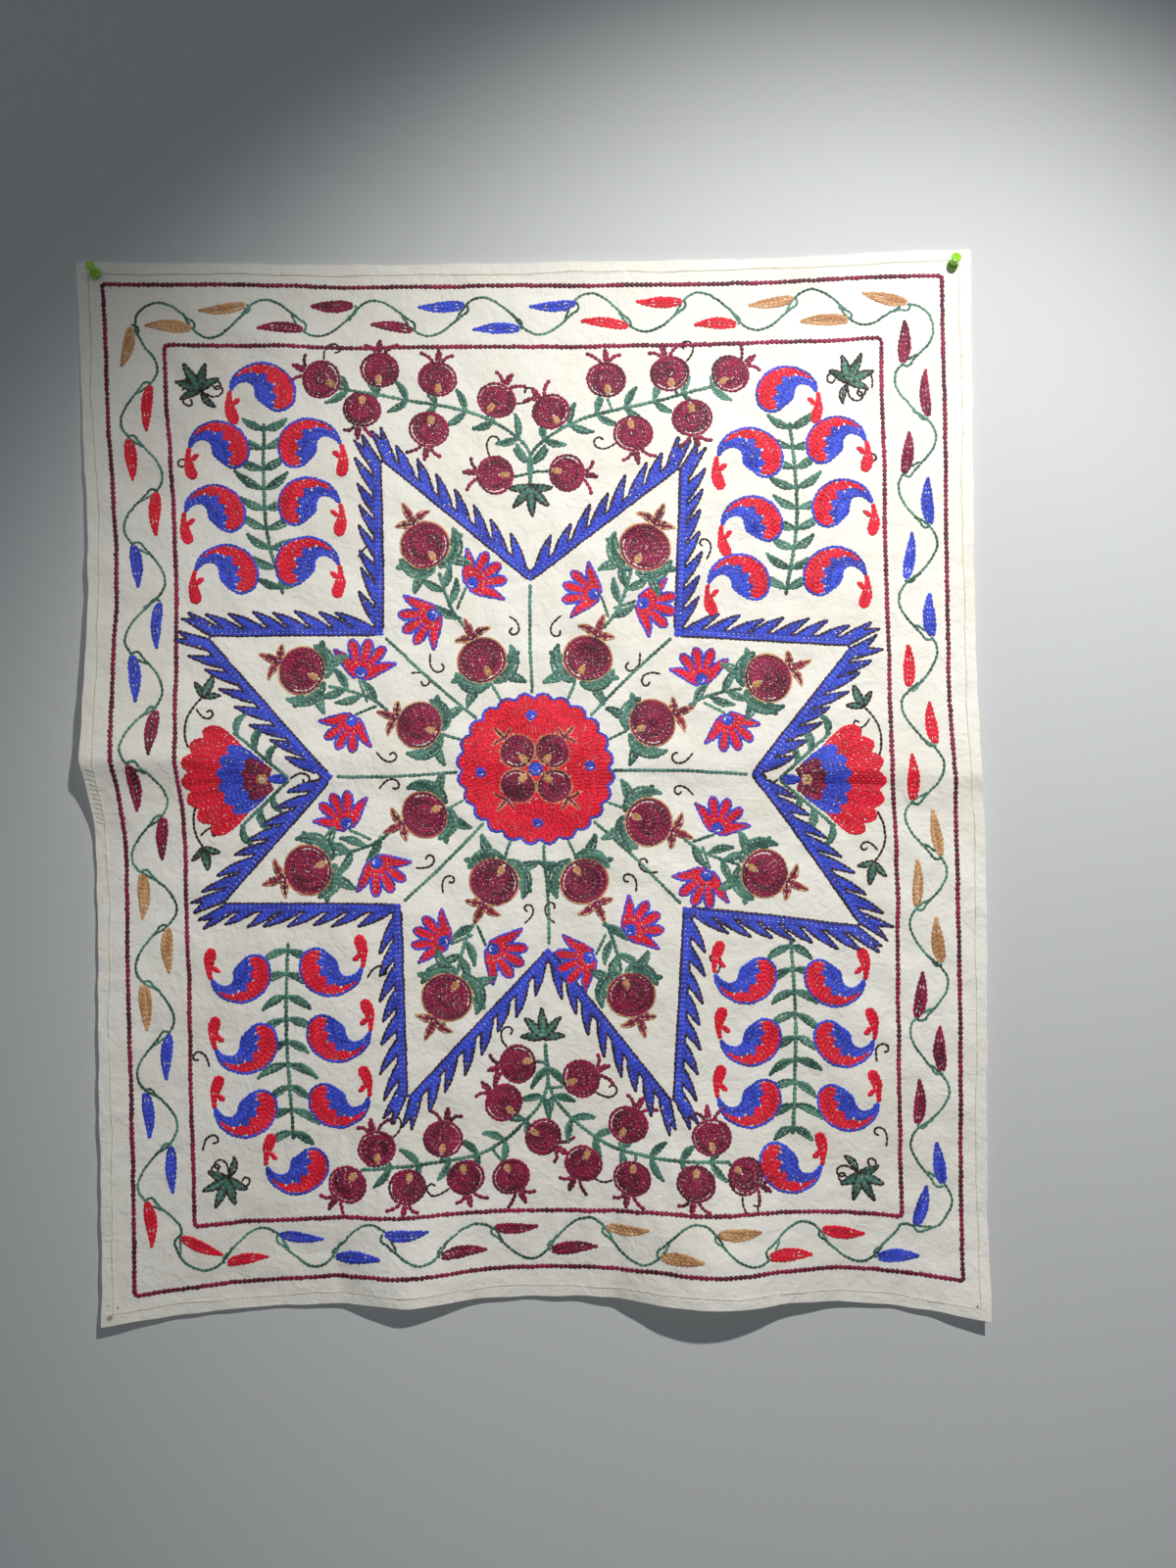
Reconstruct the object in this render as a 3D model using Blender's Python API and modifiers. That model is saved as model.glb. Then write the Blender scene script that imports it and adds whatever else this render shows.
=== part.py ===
"""A small suzani hanging: one embroidered cotton panel with a turned hem, pinned up by its two top corners.

Metres, +Z up, +X to the right of somebody facing the hanging, +Y into the wall.
The origin is on the wall, in the middle of the straight line between the panel's two top corners.
"""
import math
from collections import namedtuple

import bmesh
import bpy
from mathutils import Matrix, Vector

MM = 0.001

# --- the panel, as it would lie flat ---------------------------------------------------------
PANEL_WIDTH = 0.840
PANEL_HEIGHT = 1.000
HALF_WIDTH = PANEL_WIDTH / 2
CLOTH_THICKNESS = 1.2 * MM          # cotton with the stitches on its face and back
HEM_THICKNESS = 2.0 * MM            # the edge is turned twice to the back
HEM_WIDTH = 9.5 * MM
HEM_STEP = 0.8 * MM                 # the turned edge drops to the single cloth over this width

# --- the push pins ---------------------------------------------------------------------------
PIN_TILT = math.radians(10.0)       # heads point a little upward
PIN_SEGMENTS = 32
NEEDLE_RADIUS = 0.6 * MM
NEEDLE_TIP_RADIUS = 0.1 * MM
NEEDLE_TIP_LENGTH = 2.0 * MM
NEEDLE_REACH = 10.5 * MM            # from the flange's back to the point
SOCKET_DEPTH = 5.3 * MM             # the needle is held in the head's socket
CLEARANCE = 0.3 * MM                # between separate pieces
FLANGE_BACK_RADIUS = 4.9 * MM
PIN_FLAT_ZONE = 24.5 * MM           # the cloth is pressed flat on the wall around each pin
PIN_FREE_ZONE = 110 * MM            # and hangs freely from this far out

Pin = namedtuple("Pin", "side u v")
PINS = (
    Pin(side="left", u=-0.4015, v=0.0110),
    Pin(side="right", u=0.4025, v=0.0150),
)

# the head's outer side from its flat end down to the flange, then into the socket
HeadRing = namedtuple("HeadRing", "radius height")
HEAD_RINGS = (
    HeadRing(radius=0.0, height=12.5 * MM),
    HeadRing(radius=3.9 * MM, height=12.5 * MM),
    HeadRing(radius=4.4 * MM, height=12.3 * MM),
    HeadRing(radius=4.65 * MM, height=11.8 * MM),
    HeadRing(radius=4.65 * MM, height=11.1 * MM),
    HeadRing(radius=4.3 * MM, height=10.5 * MM),
    HeadRing(radius=3.4 * MM, height=9.6 * MM),
    HeadRing(radius=2.75 * MM, height=8.0 * MM),
    HeadRing(radius=2.5 * MM, height=6.0 * MM),
    HeadRing(radius=2.7 * MM, height=4.0 * MM),
    HeadRing(radius=3.3 * MM, height=2.5 * MM),
    HeadRing(radius=4.6 * MM, height=1.8 * MM),
    HeadRing(radius=5.1 * MM, height=1.4 * MM),
    HeadRing(radius=5.2 * MM, height=0.8 * MM),
    HeadRing(radius=5.1 * MM, height=0.25 * MM),
    HeadRing(radius=FLANGE_BACK_RADIUS, height=0.0),
    HeadRing(radius=NEEDLE_RADIUS + CLEARANCE, height=0.0),
    HeadRing(radius=NEEDLE_RADIUS + CLEARANCE, height=SOCKET_DEPTH),
    HeadRing(radius=0.0, height=SOCKET_DEPTH),
)

# --- how the panel's four edges hang, measured from the flat rectangle -------------------------
EdgeStop = namedtuple("EdgeStop", "along shift")
TOP_DROP = (                        # the top edge sags between the pins
    EdgeStop(along=-0.42, shift=0.0),
    EdgeStop(along=-0.31, shift=0.0024),
    EdgeStop(along=-0.12, shift=0.0074),
    EdgeStop(along=0.10, shift=0.0080),
    EdgeStop(along=0.25, shift=0.0060),
    EdgeStop(along=0.34, shift=0.0018),
    EdgeStop(along=0.42, shift=0.0005),
)
BOTTOM_RISE = (                     # the stitching draws the middle of the bottom edge up
    EdgeStop(along=-0.42, shift=0.0073),
    EdgeStop(along=-0.28, shift=0.0195),
    EdgeStop(along=-0.12, shift=0.0245),
    EdgeStop(along=0.06, shift=0.0268),
    EdgeStop(along=0.20, shift=0.0238),
    EdgeStop(along=0.30, shift=0.0160),
    EdgeStop(along=0.38, shift=0.0060),
    EdgeStop(along=0.42, shift=0.0005),
)
LEFT_INSET = (                      # how far the left edge has drawn in
    EdgeStop(along=0.0, shift=0.0004),
    EdgeStop(along=0.12, shift=0.0050),
    EdgeStop(along=0.30, shift=0.0128),
    EdgeStop(along=0.47, shift=0.0100),
    EdgeStop(along=0.54, shift=0.0132),
    EdgeStop(along=0.78, shift=0.0138),
    EdgeStop(along=1.0, shift=0.0142),
)
RIGHT_INSET = (
    EdgeStop(along=0.0, shift=0.0005),
    EdgeStop(along=0.30, shift=0.0032),
    EdgeStop(along=0.48, shift=0.0022),
    EdgeStop(along=0.56, shift=-0.0012),
    EdgeStop(along=0.78, shift=-0.0004),
    EdgeStop(along=1.0, shift=0.0012),
)

# --- how far the panel stands off the wall -----------------------------------------------------
STAND_OFF = 3.0 * MM                # the stiff embroidery keeps the middle off the wall
STAND_OFF_REACH = 0.22

# the old fold line across the middle: a ridge, softer above than below
CREASE_HEIGHT_IN_CLOTH = 0.482
CREASE_SLOPE = 0.025
CREASE_BLEND = 0.060
CREASE_ROUNDING = 5 * MM
CREASE_REACH_ABOVE = 0.095
CREASE_REACH_BELOW = 0.030
CREASE_RIDGE = (
    EdgeStop(along=-0.42, shift=0.0190),
    EdgeStop(along=-0.34, shift=0.0130),
    EdgeStop(along=-0.20, shift=0.0075),
    EdgeStop(along=0.0, shift=0.0050),
    EdgeStop(along=0.22, shift=0.0065),
    EdgeStop(along=0.34, shift=0.0095),
    EdgeStop(along=0.42, shift=0.0110),
)

# soft folds: each is a swelling with its own centre line, leaning by "lean" metres of u per metre of v
Fold = namedtuple("Fold", "name u v half_width above below lean height")
FOLDS = (
    Fold(name="left tongue at the bottom", u=-0.128, v=1.0, half_width=0.050, above=0.105, below=0.2,
         lean=0.08, height=0.0195),
    Fold(name="right tongue at the bottom", u=0.158, v=1.0, half_width=0.080, above=0.135, below=0.2,
         lean=0.05, height=0.0370),
    Fold(name="left edge standing off", u=-0.435, v=0.44, half_width=0.075, above=0.210, below=0.075,
         lean=0.0, height=0.0120),
    Fold(name="left edge below the crease", u=-0.430, v=0.80, half_width=0.060, above=0.190, below=0.30,
         lean=0.0, height=0.0065),
    Fold(name="right edge below the crease", u=0.440, v=0.60, half_width=0.080, above=0.090, below=0.24,
         lean=0.0, height=0.0085),
    Fold(name="right foot corner lifting", u=0.425, v=1.01, half_width=0.055, above=0.070, below=0.1,
         lean=0.0, height=0.0125),
    Fold(name="left foot corner lifting", u=-0.425, v=1.01, half_width=0.050, above=0.060, below=0.1,
         lean=0.0, height=0.0060),
    Fold(name="swelling left of the middle", u=-0.170, v=0.66, half_width=0.095, above=0.110, below=0.150,
         lean=0.10, height=0.0060),
    Fold(name="swelling right of the middle", u=0.120, v=0.70, half_width=0.085, above=0.130, below=0.160,
         lean=-0.06, height=0.0070),
    Fold(name="upper left swelling", u=-0.190, v=0.20, half_width=0.110, above=0.120, below=0.120,
         lean=0.30, height=0.0045),
    Fold(name="upper right swelling", u=0.200, v=0.24, half_width=0.120, above=0.130, below=0.110,
         lean=-0.20, height=0.0040),
    Fold(name="top edge between the pins", u=0.040, v=0.0, half_width=0.170, above=0.100, below=0.070,
         lean=0.0, height=0.0040),
)

# drag folds run from each pin towards the middle
Drag = namedtuple("Drag", "side angle length half_width height")
DRAGS = (
    Drag(side="left", angle=47, length=0.22, half_width=0.012, height=0.0032),
    Drag(side="left", angle=22, length=0.26, half_width=0.014, height=0.0022),
    Drag(side="right", angle=140, length=0.20, half_width=0.013, height=0.0026),
)

# --- the grid the panel is built on ------------------------------------------------------------
Band = namedtuple("Band", "end cells")
HEM_INNER = HEM_WIDTH + HEM_STEP
PIN_ZONE_EDGE = 35 * MM
COLUMN_BANDS = (
    Band(end=-HALF_WIDTH + HEM_WIDTH, cells=1),
    Band(end=-HALF_WIDTH + HEM_INNER, cells=1),
    Band(end=-HALF_WIDTH + PIN_ZONE_EDGE, cells=1),
    Band(end=HALF_WIDTH - PIN_ZONE_EDGE, cells=36),
    Band(end=HALF_WIDTH - HEM_INNER, cells=1),
    Band(end=HALF_WIDTH - HEM_WIDTH, cells=1),
    Band(end=HALF_WIDTH, cells=1),
)
ROW_BANDS = (
    Band(end=HEM_WIDTH, cells=1),
    Band(end=HEM_INNER, cells=1),
    Band(end=PIN_ZONE_EDGE, cells=1),
    Band(end=0.440, cells=16),
    Band(end=0.524, cells=9),
    Band(end=0.800, cells=10),
    Band(end=PANEL_HEIGHT - HEM_INNER, cells=9),
    Band(end=PANEL_HEIGHT - HEM_WIDTH, cells=1),
    Band(end=PANEL_HEIGHT, cells=1),
)

PROBE = 0.2 * MM                    # the step used to feel the cloth's slope
HOLE_CUTTER_LENGTH = 12 * MM
HOLE_SEGMENTS = 16
MERGE = 0.00001


def clear_scene():
    """Start from an empty file."""
    for old in list(bpy.data.objects):
        bpy.data.objects.remove(old, do_unlink=True)
    for old in list(bpy.data.collections):
        bpy.data.collections.remove(old)


def new_collection(name):
    """Return a new collection linked to the scene."""
    collection = bpy.data.collections.new(name)
    bpy.context.scene.collection.children.link(collection)
    return collection


def finish(name, colour, roughness, metallic=0.0, coat=0.0):
    """Return a Principled material."""
    material = bpy.data.materials.new(name)
    material.use_nodes = True
    shader = material.node_tree.nodes["Principled BSDF"]
    shader.inputs["Base Color"].default_value = (*colour, 1.0)
    shader.inputs["Roughness"].default_value = roughness
    shader.inputs["Metallic"].default_value = metallic
    shader.inputs["Coat Weight"].default_value = coat
    material.diffuse_color = (*colour, 1.0)
    return material


def new_object(name, mesh, material, collection):
    """Return a new object that wears one material."""
    obj = bpy.data.objects.new(name, mesh)
    obj.data.materials.append(material)
    collection.objects.link(obj)
    return obj


def read_table(table, along):
    """Return a table's shift at a place along it, on a smooth curve through its stops."""
    if along <= table[0].along:
        return table[0].shift
    if along >= table[-1].along:
        return table[-1].shift
    k = 0
    while table[k + 1].along < along:
        k += 1
    first, last = table[k], table[k + 1]
    before = table[max(k - 1, 0)]
    after = table[min(k + 2, len(table) - 1)]
    span = last.along - first.along
    slope_in = (last.shift - before.shift) / (last.along - before.along)
    slope_out = (after.shift - first.shift) / (after.along - first.along)
    s = (along - first.along) / span
    keep = (1 + 2 * s) * (1 - s) ** 2
    rise = s * s * (3 - 2 * s)
    leave = s * (1 - s) ** 2 * span
    arrive = s * s * (s - 1) * span
    return keep * first.shift + rise * last.shift + leave * slope_in + arrive * slope_out


def ease(s):
    """Return 0 below 0, 1 above 1, and a smooth climb between."""
    s = min(max(s, 0.0), 1.0)
    return s * s * s * (s * (6 * s - 15) + 10)


def freedom(u, v):
    """Return how freely the cloth hangs: 0 where a pin presses it to the wall, 1 far from the pins."""
    free = 1.0
    for pin in PINS:
        away = max(abs(u - pin.u), abs(v - pin.v))
        free *= ease((away - PIN_FLAT_ZONE) / (PIN_FREE_ZONE - PIN_FLAT_ZONE))
    return free


def crease_line(u):
    """Return how far down the cloth the old fold line runs."""
    return CREASE_HEIGHT_IN_CLOTH + CREASE_SLOPE * u


def crease(u, v):
    """Return how far the old fold line stands out."""
    down = v - crease_line(u)
    reach = CREASE_REACH_BELOW if down > 0 else CREASE_REACH_ABOVE
    rounded = math.hypot(down, CREASE_ROUNDING) - CREASE_ROUNDING
    return read_table(CREASE_RIDGE, u) * math.exp(-rounded / reach)


def soft_fold(fold, u, v):
    """Return how far one soft fold stands out."""
    down = v - fold.v
    across = (u - fold.u - fold.lean * down) / fold.half_width
    length = down / (fold.below if down > 0 else fold.above)
    return fold.height * math.exp(-across * across - length * length)


def drag_fold(drag, u, v):
    """Return how far one drag fold from a pin stands out."""
    pin = next(p for p in PINS if p.side == drag.side)
    angle = math.radians(drag.angle)
    right, down = u - pin.u, v - pin.v
    along = right * math.cos(angle) + down * math.sin(angle)
    across = right * math.sin(angle) - down * math.cos(angle)
    if along <= 0 or along >= drag.length:
        return 0.0
    swell = math.sin(math.pi * along / drag.length) ** 2
    return drag.height * swell * math.exp(-(across / drag.half_width) ** 2)


def stand_off(u, v):
    """Return the distance from the wall to the back of the hem's plane."""
    depth = STAND_OFF * ease(v / STAND_OFF_REACH)
    depth += crease(u, v)
    depth += sum(soft_fold(fold, u, v) for fold in FOLDS)
    depth += sum(drag_fold(drag, u, v) for drag in DRAGS)
    return depth * freedom(u, v)


def hang(u, v):
    """Return where a place on the flat cloth hangs, on the side towards the wall."""
    across = (u + HALF_WIDTH) / PANEL_WIDTH
    down = v / PANEL_HEIGHT
    x = u + (1 - across) * read_table(LEFT_INSET, v) - across * read_table(RIGHT_INSET, v)
    z = -v - (1 - down) * read_table(TOP_DROP, u) + down * read_table(BOTTOM_RISE, u)
    return Vector((x, -stand_off(u, v), z))


def outward(u, v):
    """Return the cloth's direction away from the wall at a place on it."""
    right = hang(u + PROBE, v) - hang(u - PROBE, v)
    down = hang(u, v + PROBE) - hang(u, v - PROBE)
    return right.cross(-down).normalized()


def grid_lines(start, bands):
    """Return the grid's lines from a table of bands."""
    lines = [start]
    for band in bands:
        step = (band.end - lines[-1]) / band.cells
        first = lines[-1]
        lines.extend(first + step * (k + 1) for k in range(band.cells))
    return lines


def follow_crease(u, v):
    """Return a row's place at u, drawn onto the slope of the old fold line near it."""
    near = math.exp(-((v - CREASE_HEIGHT_IN_CLOTH) / CREASE_BLEND) ** 2)
    return v + CREASE_SLOPE * u * near


def in_hem(u, v):
    """Return whether a place is on the turned edge."""
    edge = min(u + HALF_WIDTH, HALF_WIDTH - u, v, PANEL_HEIGHT - v)
    return edge < HEM_WIDTH + HEM_STEP / 2


def build_panel(material, collection):
    """Return the panel: one sheet, thicker along its turned edge."""
    columns = grid_lines(-HALF_WIDTH, COLUMN_BANDS)
    rows = grid_lines(0.0, ROW_BANDS)
    bm = bmesh.new()
    front, back = [], []
    for row in rows:
        front_row, back_row = [], []
        for u in columns:
            v = follow_crease(u, row)
            place = hang(u, v)
            away = outward(u, v)
            turned = 0.0 if in_hem(u, row) else HEM_THICKNESS - CLOTH_THICKNESS
            front_row.append(bm.verts.new(place + away * HEM_THICKNESS))
            back_row.append(bm.verts.new(place + away * turned))
        front.append(front_row)
        back.append(back_row)
    for r in range(len(rows) - 1):
        for c in range(len(columns) - 1):
            bm.faces.new((front[r][c], front[r + 1][c], front[r + 1][c + 1], front[r][c + 1]))
            bm.faces.new((back[r][c], back[r][c + 1], back[r + 1][c + 1], back[r + 1][c]))
    last_row, last_column = len(rows) - 1, len(columns) - 1
    for c in range(last_column):
        bm.faces.new((front[0][c], front[0][c + 1], back[0][c + 1], back[0][c]))
        bm.faces.new((front[last_row][c + 1], front[last_row][c], back[last_row][c], back[last_row][c + 1]))
    for r in range(last_row):
        bm.faces.new((front[r + 1][0], front[r][0], back[r][0], back[r + 1][0]))
        bm.faces.new((front[r][last_column], front[r + 1][last_column],
                      back[r + 1][last_column], back[r][last_column]))
    bmesh.ops.triangulate(bm, faces=bm.faces[:])
    bmesh.ops.recalc_face_normals(bm, faces=bm.faces[:])
    mesh = bpy.data.meshes.new("suzani_panel")
    bm.to_mesh(mesh)
    bm.free()
    return new_object("suzani_panel", mesh, material, collection)


def pin_frame(pin):
    """Return a pin's frame: origin at the middle of the flange's back, +Z out along the head."""
    through = hang(pin.u, pin.v) + Vector((0, -HEM_THICKNESS, 0))
    axis = Vector((0, -math.cos(PIN_TILT), math.sin(PIN_TILT)))
    gap = 1.2 * CLEARANCE + FLANGE_BACK_RADIUS * math.sin(PIN_TILT)
    turn = Vector((0, 0, 1)).rotation_difference(axis).to_matrix().to_4x4()
    return Matrix.Translation(through + axis * (gap / math.cos(PIN_TILT))) @ turn


def turned_piece(name, rings, frame, material, collection):
    """Return a piece turned round its own axis from the rings of its outer side."""
    mesh = bpy.data.meshes.new(name)
    places = [(ring.radius, 0.0, ring.height) for ring in rings]
    mesh.from_pydata(places, [(k, k + 1) for k in range(len(places) - 1)], [])
    obj = new_object(name, mesh, material, collection)
    obj.matrix_world = frame
    screw = obj.modifiers.new("Turn", "SCREW")
    screw.axis = "Z"
    screw.angle = math.tau
    screw.steps = PIN_SEGMENTS
    screw.render_steps = PIN_SEGMENTS
    screw.use_merge_vertices = True
    screw.merge_threshold = MERGE
    screw.use_normal_calculate = True
    screw.use_smooth_shade = True
    return obj


def needle_rings():
    """Return the needle's rings from its blunt end in the socket to its point."""
    top = SOCKET_DEPTH - CLEARANCE
    return (
        HeadRing(radius=0.0, height=top),
        HeadRing(radius=NEEDLE_RADIUS, height=top),
        HeadRing(radius=NEEDLE_RADIUS, height=NEEDLE_TIP_LENGTH - NEEDLE_REACH),
        HeadRing(radius=NEEDLE_TIP_RADIUS, height=-NEEDLE_REACH),
        HeadRing(radius=0.0, height=-NEEDLE_REACH),
    )


def pierce(panel, pin, cutters):
    """Cut one pin's hole through the panel."""
    bm = bmesh.new()
    bmesh.ops.create_cone(bm, cap_ends=True, segments=HOLE_SEGMENTS, radius1=NEEDLE_RADIUS + CLEARANCE,
                          radius2=NEEDLE_RADIUS + CLEARANCE, depth=HOLE_CUTTER_LENGTH)
    mesh = bpy.data.meshes.new(f"{pin.side}_pin_hole")
    bm.to_mesh(mesh)
    bm.free()
    cutter = bpy.data.objects.new(f"{pin.side}_pin_hole", mesh)
    cutter.matrix_world = pin_frame(pin)
    cutter.hide_render = True
    cutter.display_type = "WIRE"
    cutters.objects.link(cutter)
    cut = panel.modifiers.new(f"{pin.side} pin hole", "BOOLEAN")
    cut.operation = "DIFFERENCE"
    cut.solver = "EXACT"
    cut.object = cutter


def build():
    """Build the hanging."""
    clear_scene()
    hanging = new_collection("Suzani hanging")
    cutters = new_collection("Cutters")
    cotton = finish("cotton", (0.79, 0.76, 0.67), 0.85)
    plastic = finish("pin_plastic", (0.24, 0.55, 0.03), 0.30, coat=0.3)
    steel = finish("pin_steel", (0.55, 0.55, 0.54), 0.30, metallic=1.0)
    panel = build_panel(cotton, hanging)
    for pin in PINS:
        pierce(panel, pin, cutters)
        frame = pin_frame(pin)
        turned_piece(f"{pin.side}_pin_head", HEAD_RINGS, frame, plastic, hanging)
        turned_piece(f"{pin.side}_pin_needle", needle_rings(), frame, steel, hanging)


build()
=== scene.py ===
"""Looks of a small suzani hanging: embroidered cotton, its hem, and the two push pins that hold it.

Metres, +Z up, +X to the right of somebody facing the hanging, +Y into the wall. Designs are drawn on the
flat cloth: x across from its middle, y up from its top edge, so the cloth's foot is at y = -1.
"""
import json
import logging
import math
from dataclasses import dataclass, field
from enum import Enum
from typing import Callable, Iterable, Sequence

import bmesh
import bpy
import numpy as np
from mathutils import Matrix, Vector


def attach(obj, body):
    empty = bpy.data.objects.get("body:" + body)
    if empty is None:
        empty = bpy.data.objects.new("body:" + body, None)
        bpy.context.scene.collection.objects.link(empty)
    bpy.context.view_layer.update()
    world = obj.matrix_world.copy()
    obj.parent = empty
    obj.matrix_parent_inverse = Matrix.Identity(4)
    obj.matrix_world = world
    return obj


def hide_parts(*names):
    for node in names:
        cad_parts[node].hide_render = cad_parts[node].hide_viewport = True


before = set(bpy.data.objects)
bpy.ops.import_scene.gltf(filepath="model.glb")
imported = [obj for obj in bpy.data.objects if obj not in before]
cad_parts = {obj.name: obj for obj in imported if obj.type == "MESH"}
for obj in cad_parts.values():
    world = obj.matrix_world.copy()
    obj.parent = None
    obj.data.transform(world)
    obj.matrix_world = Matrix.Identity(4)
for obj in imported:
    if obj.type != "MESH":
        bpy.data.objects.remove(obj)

LOG = logging.getLogger("suzani")
MM = 0.001
Array = np.ndarray


# ---------------------------------------------------------------------------------------------
# How the cloth hangs
# ---------------------------------------------------------------------------------------------

@dataclass(frozen=True)
class EdgeCurve:
    """A smooth curve through a few named stops."""

    along: tuple[float, ...]
    shift: tuple[float, ...]

    def read(self, s: Array) -> Array:
        """Return the curve's shift.

        Args:
            s: places along the curve.

        Returns:
            The shift at each place, held level past both ends.
        """
        a, h = np.array(self.along), np.array(self.shift)
        slope = np.zeros(len(a))
        slope[1:-1] = (h[2:] - h[:-2]) / (a[2:] - a[:-2])
        slope[0] = (h[1] - h[0]) / (a[1] - a[0])
        slope[-1] = (h[-1] - h[-2]) / (a[-1] - a[-2])
        s = np.clip(s, a[0], a[-1])
        k = np.clip(np.searchsorted(a, s, side="right") - 1, 0, len(a) - 2)
        span = a[k + 1] - a[k]
        t = (s - a[k]) / span
        keep = (1 + 2 * t) * (1 - t) ** 2
        rise = t * t * (3 - 2 * t)
        return (keep * h[k] + rise * h[k + 1]
                + t * (1 - t) ** 2 * span * slope[k] + t * t * (t - 1) * span * slope[k + 1])


@dataclass(frozen=True)
class SoftFold:
    """A soft swelling of the cloth, its centre line leaning by lean metres of u per metre of v."""

    name: str
    u: float
    v: float
    half_width: float
    above: float
    below: float
    lean: float
    height: float

    def height_at(self, u: Array, v: Array) -> Array:
        """Return how far the fold stands out at each place."""
        down = v - self.v
        across = (u - self.u - self.lean * down) / self.half_width
        length = down / np.where(down > 0, self.below, self.above)
        return self.height * np.exp(-across ** 2 - length ** 2)


@dataclass(frozen=True)
class LineFold:
    """A ridge (or a trough, with a height below 0) that runs straight from one place to another."""

    name: str
    start: tuple[float, float]
    end: tuple[float, float]
    half_width: float
    height: float

    def height_at(self, u: Array, v: Array) -> Array:
        """Return how far the fold stands out at each place."""
        du, dv = self.end[0] - self.start[0], self.end[1] - self.start[1]
        length = math.hypot(du, dv)
        right, down = u - self.start[0], v - self.start[1]
        along = (right * du + down * dv) / length ** 2
        across = (right * dv - down * du) / length
        swell = np.sin(math.pi * np.clip(along, 0, 1)) ** 2
        return self.height * swell * np.exp(-(across / self.half_width) ** 2)


@dataclass(frozen=True)
class Ripple:
    """A patch of small parallel puckers where stitches have drawn the cloth in."""

    name: str
    u: float
    v: float
    half_u: float
    half_v: float
    wave: float
    turn: float
    height: float

    def height_at(self, u: Array, v: Array) -> Array:
        """Return how far the puckers stand out at each place."""
        a = math.radians(self.turn)
        across = (u - self.u) * math.cos(a) + (v - self.v) * math.sin(a)
        along = -(u - self.u) * math.sin(a) + (v - self.v) * math.cos(a)
        bend = across + 0.12 * self.wave * np.sin(along / self.wave * 1.7)
        near = np.exp(-((u - self.u) / self.half_u) ** 2 - ((v - self.v) / self.half_v) ** 2)
        return self.height * near * np.sin(math.tau * bend / self.wave)


@dataclass(frozen=True)
class Pin:
    """Where one push pin goes through the cloth."""

    side: str
    u: float
    v: float


def ease(s: Array) -> Array:
    """Return 0 below 0, 1 above 1, and a smooth climb between."""
    s = np.clip(s, 0.0, 1.0)
    return s * s * s * (s * (6 * s - 15) + 10)


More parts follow.
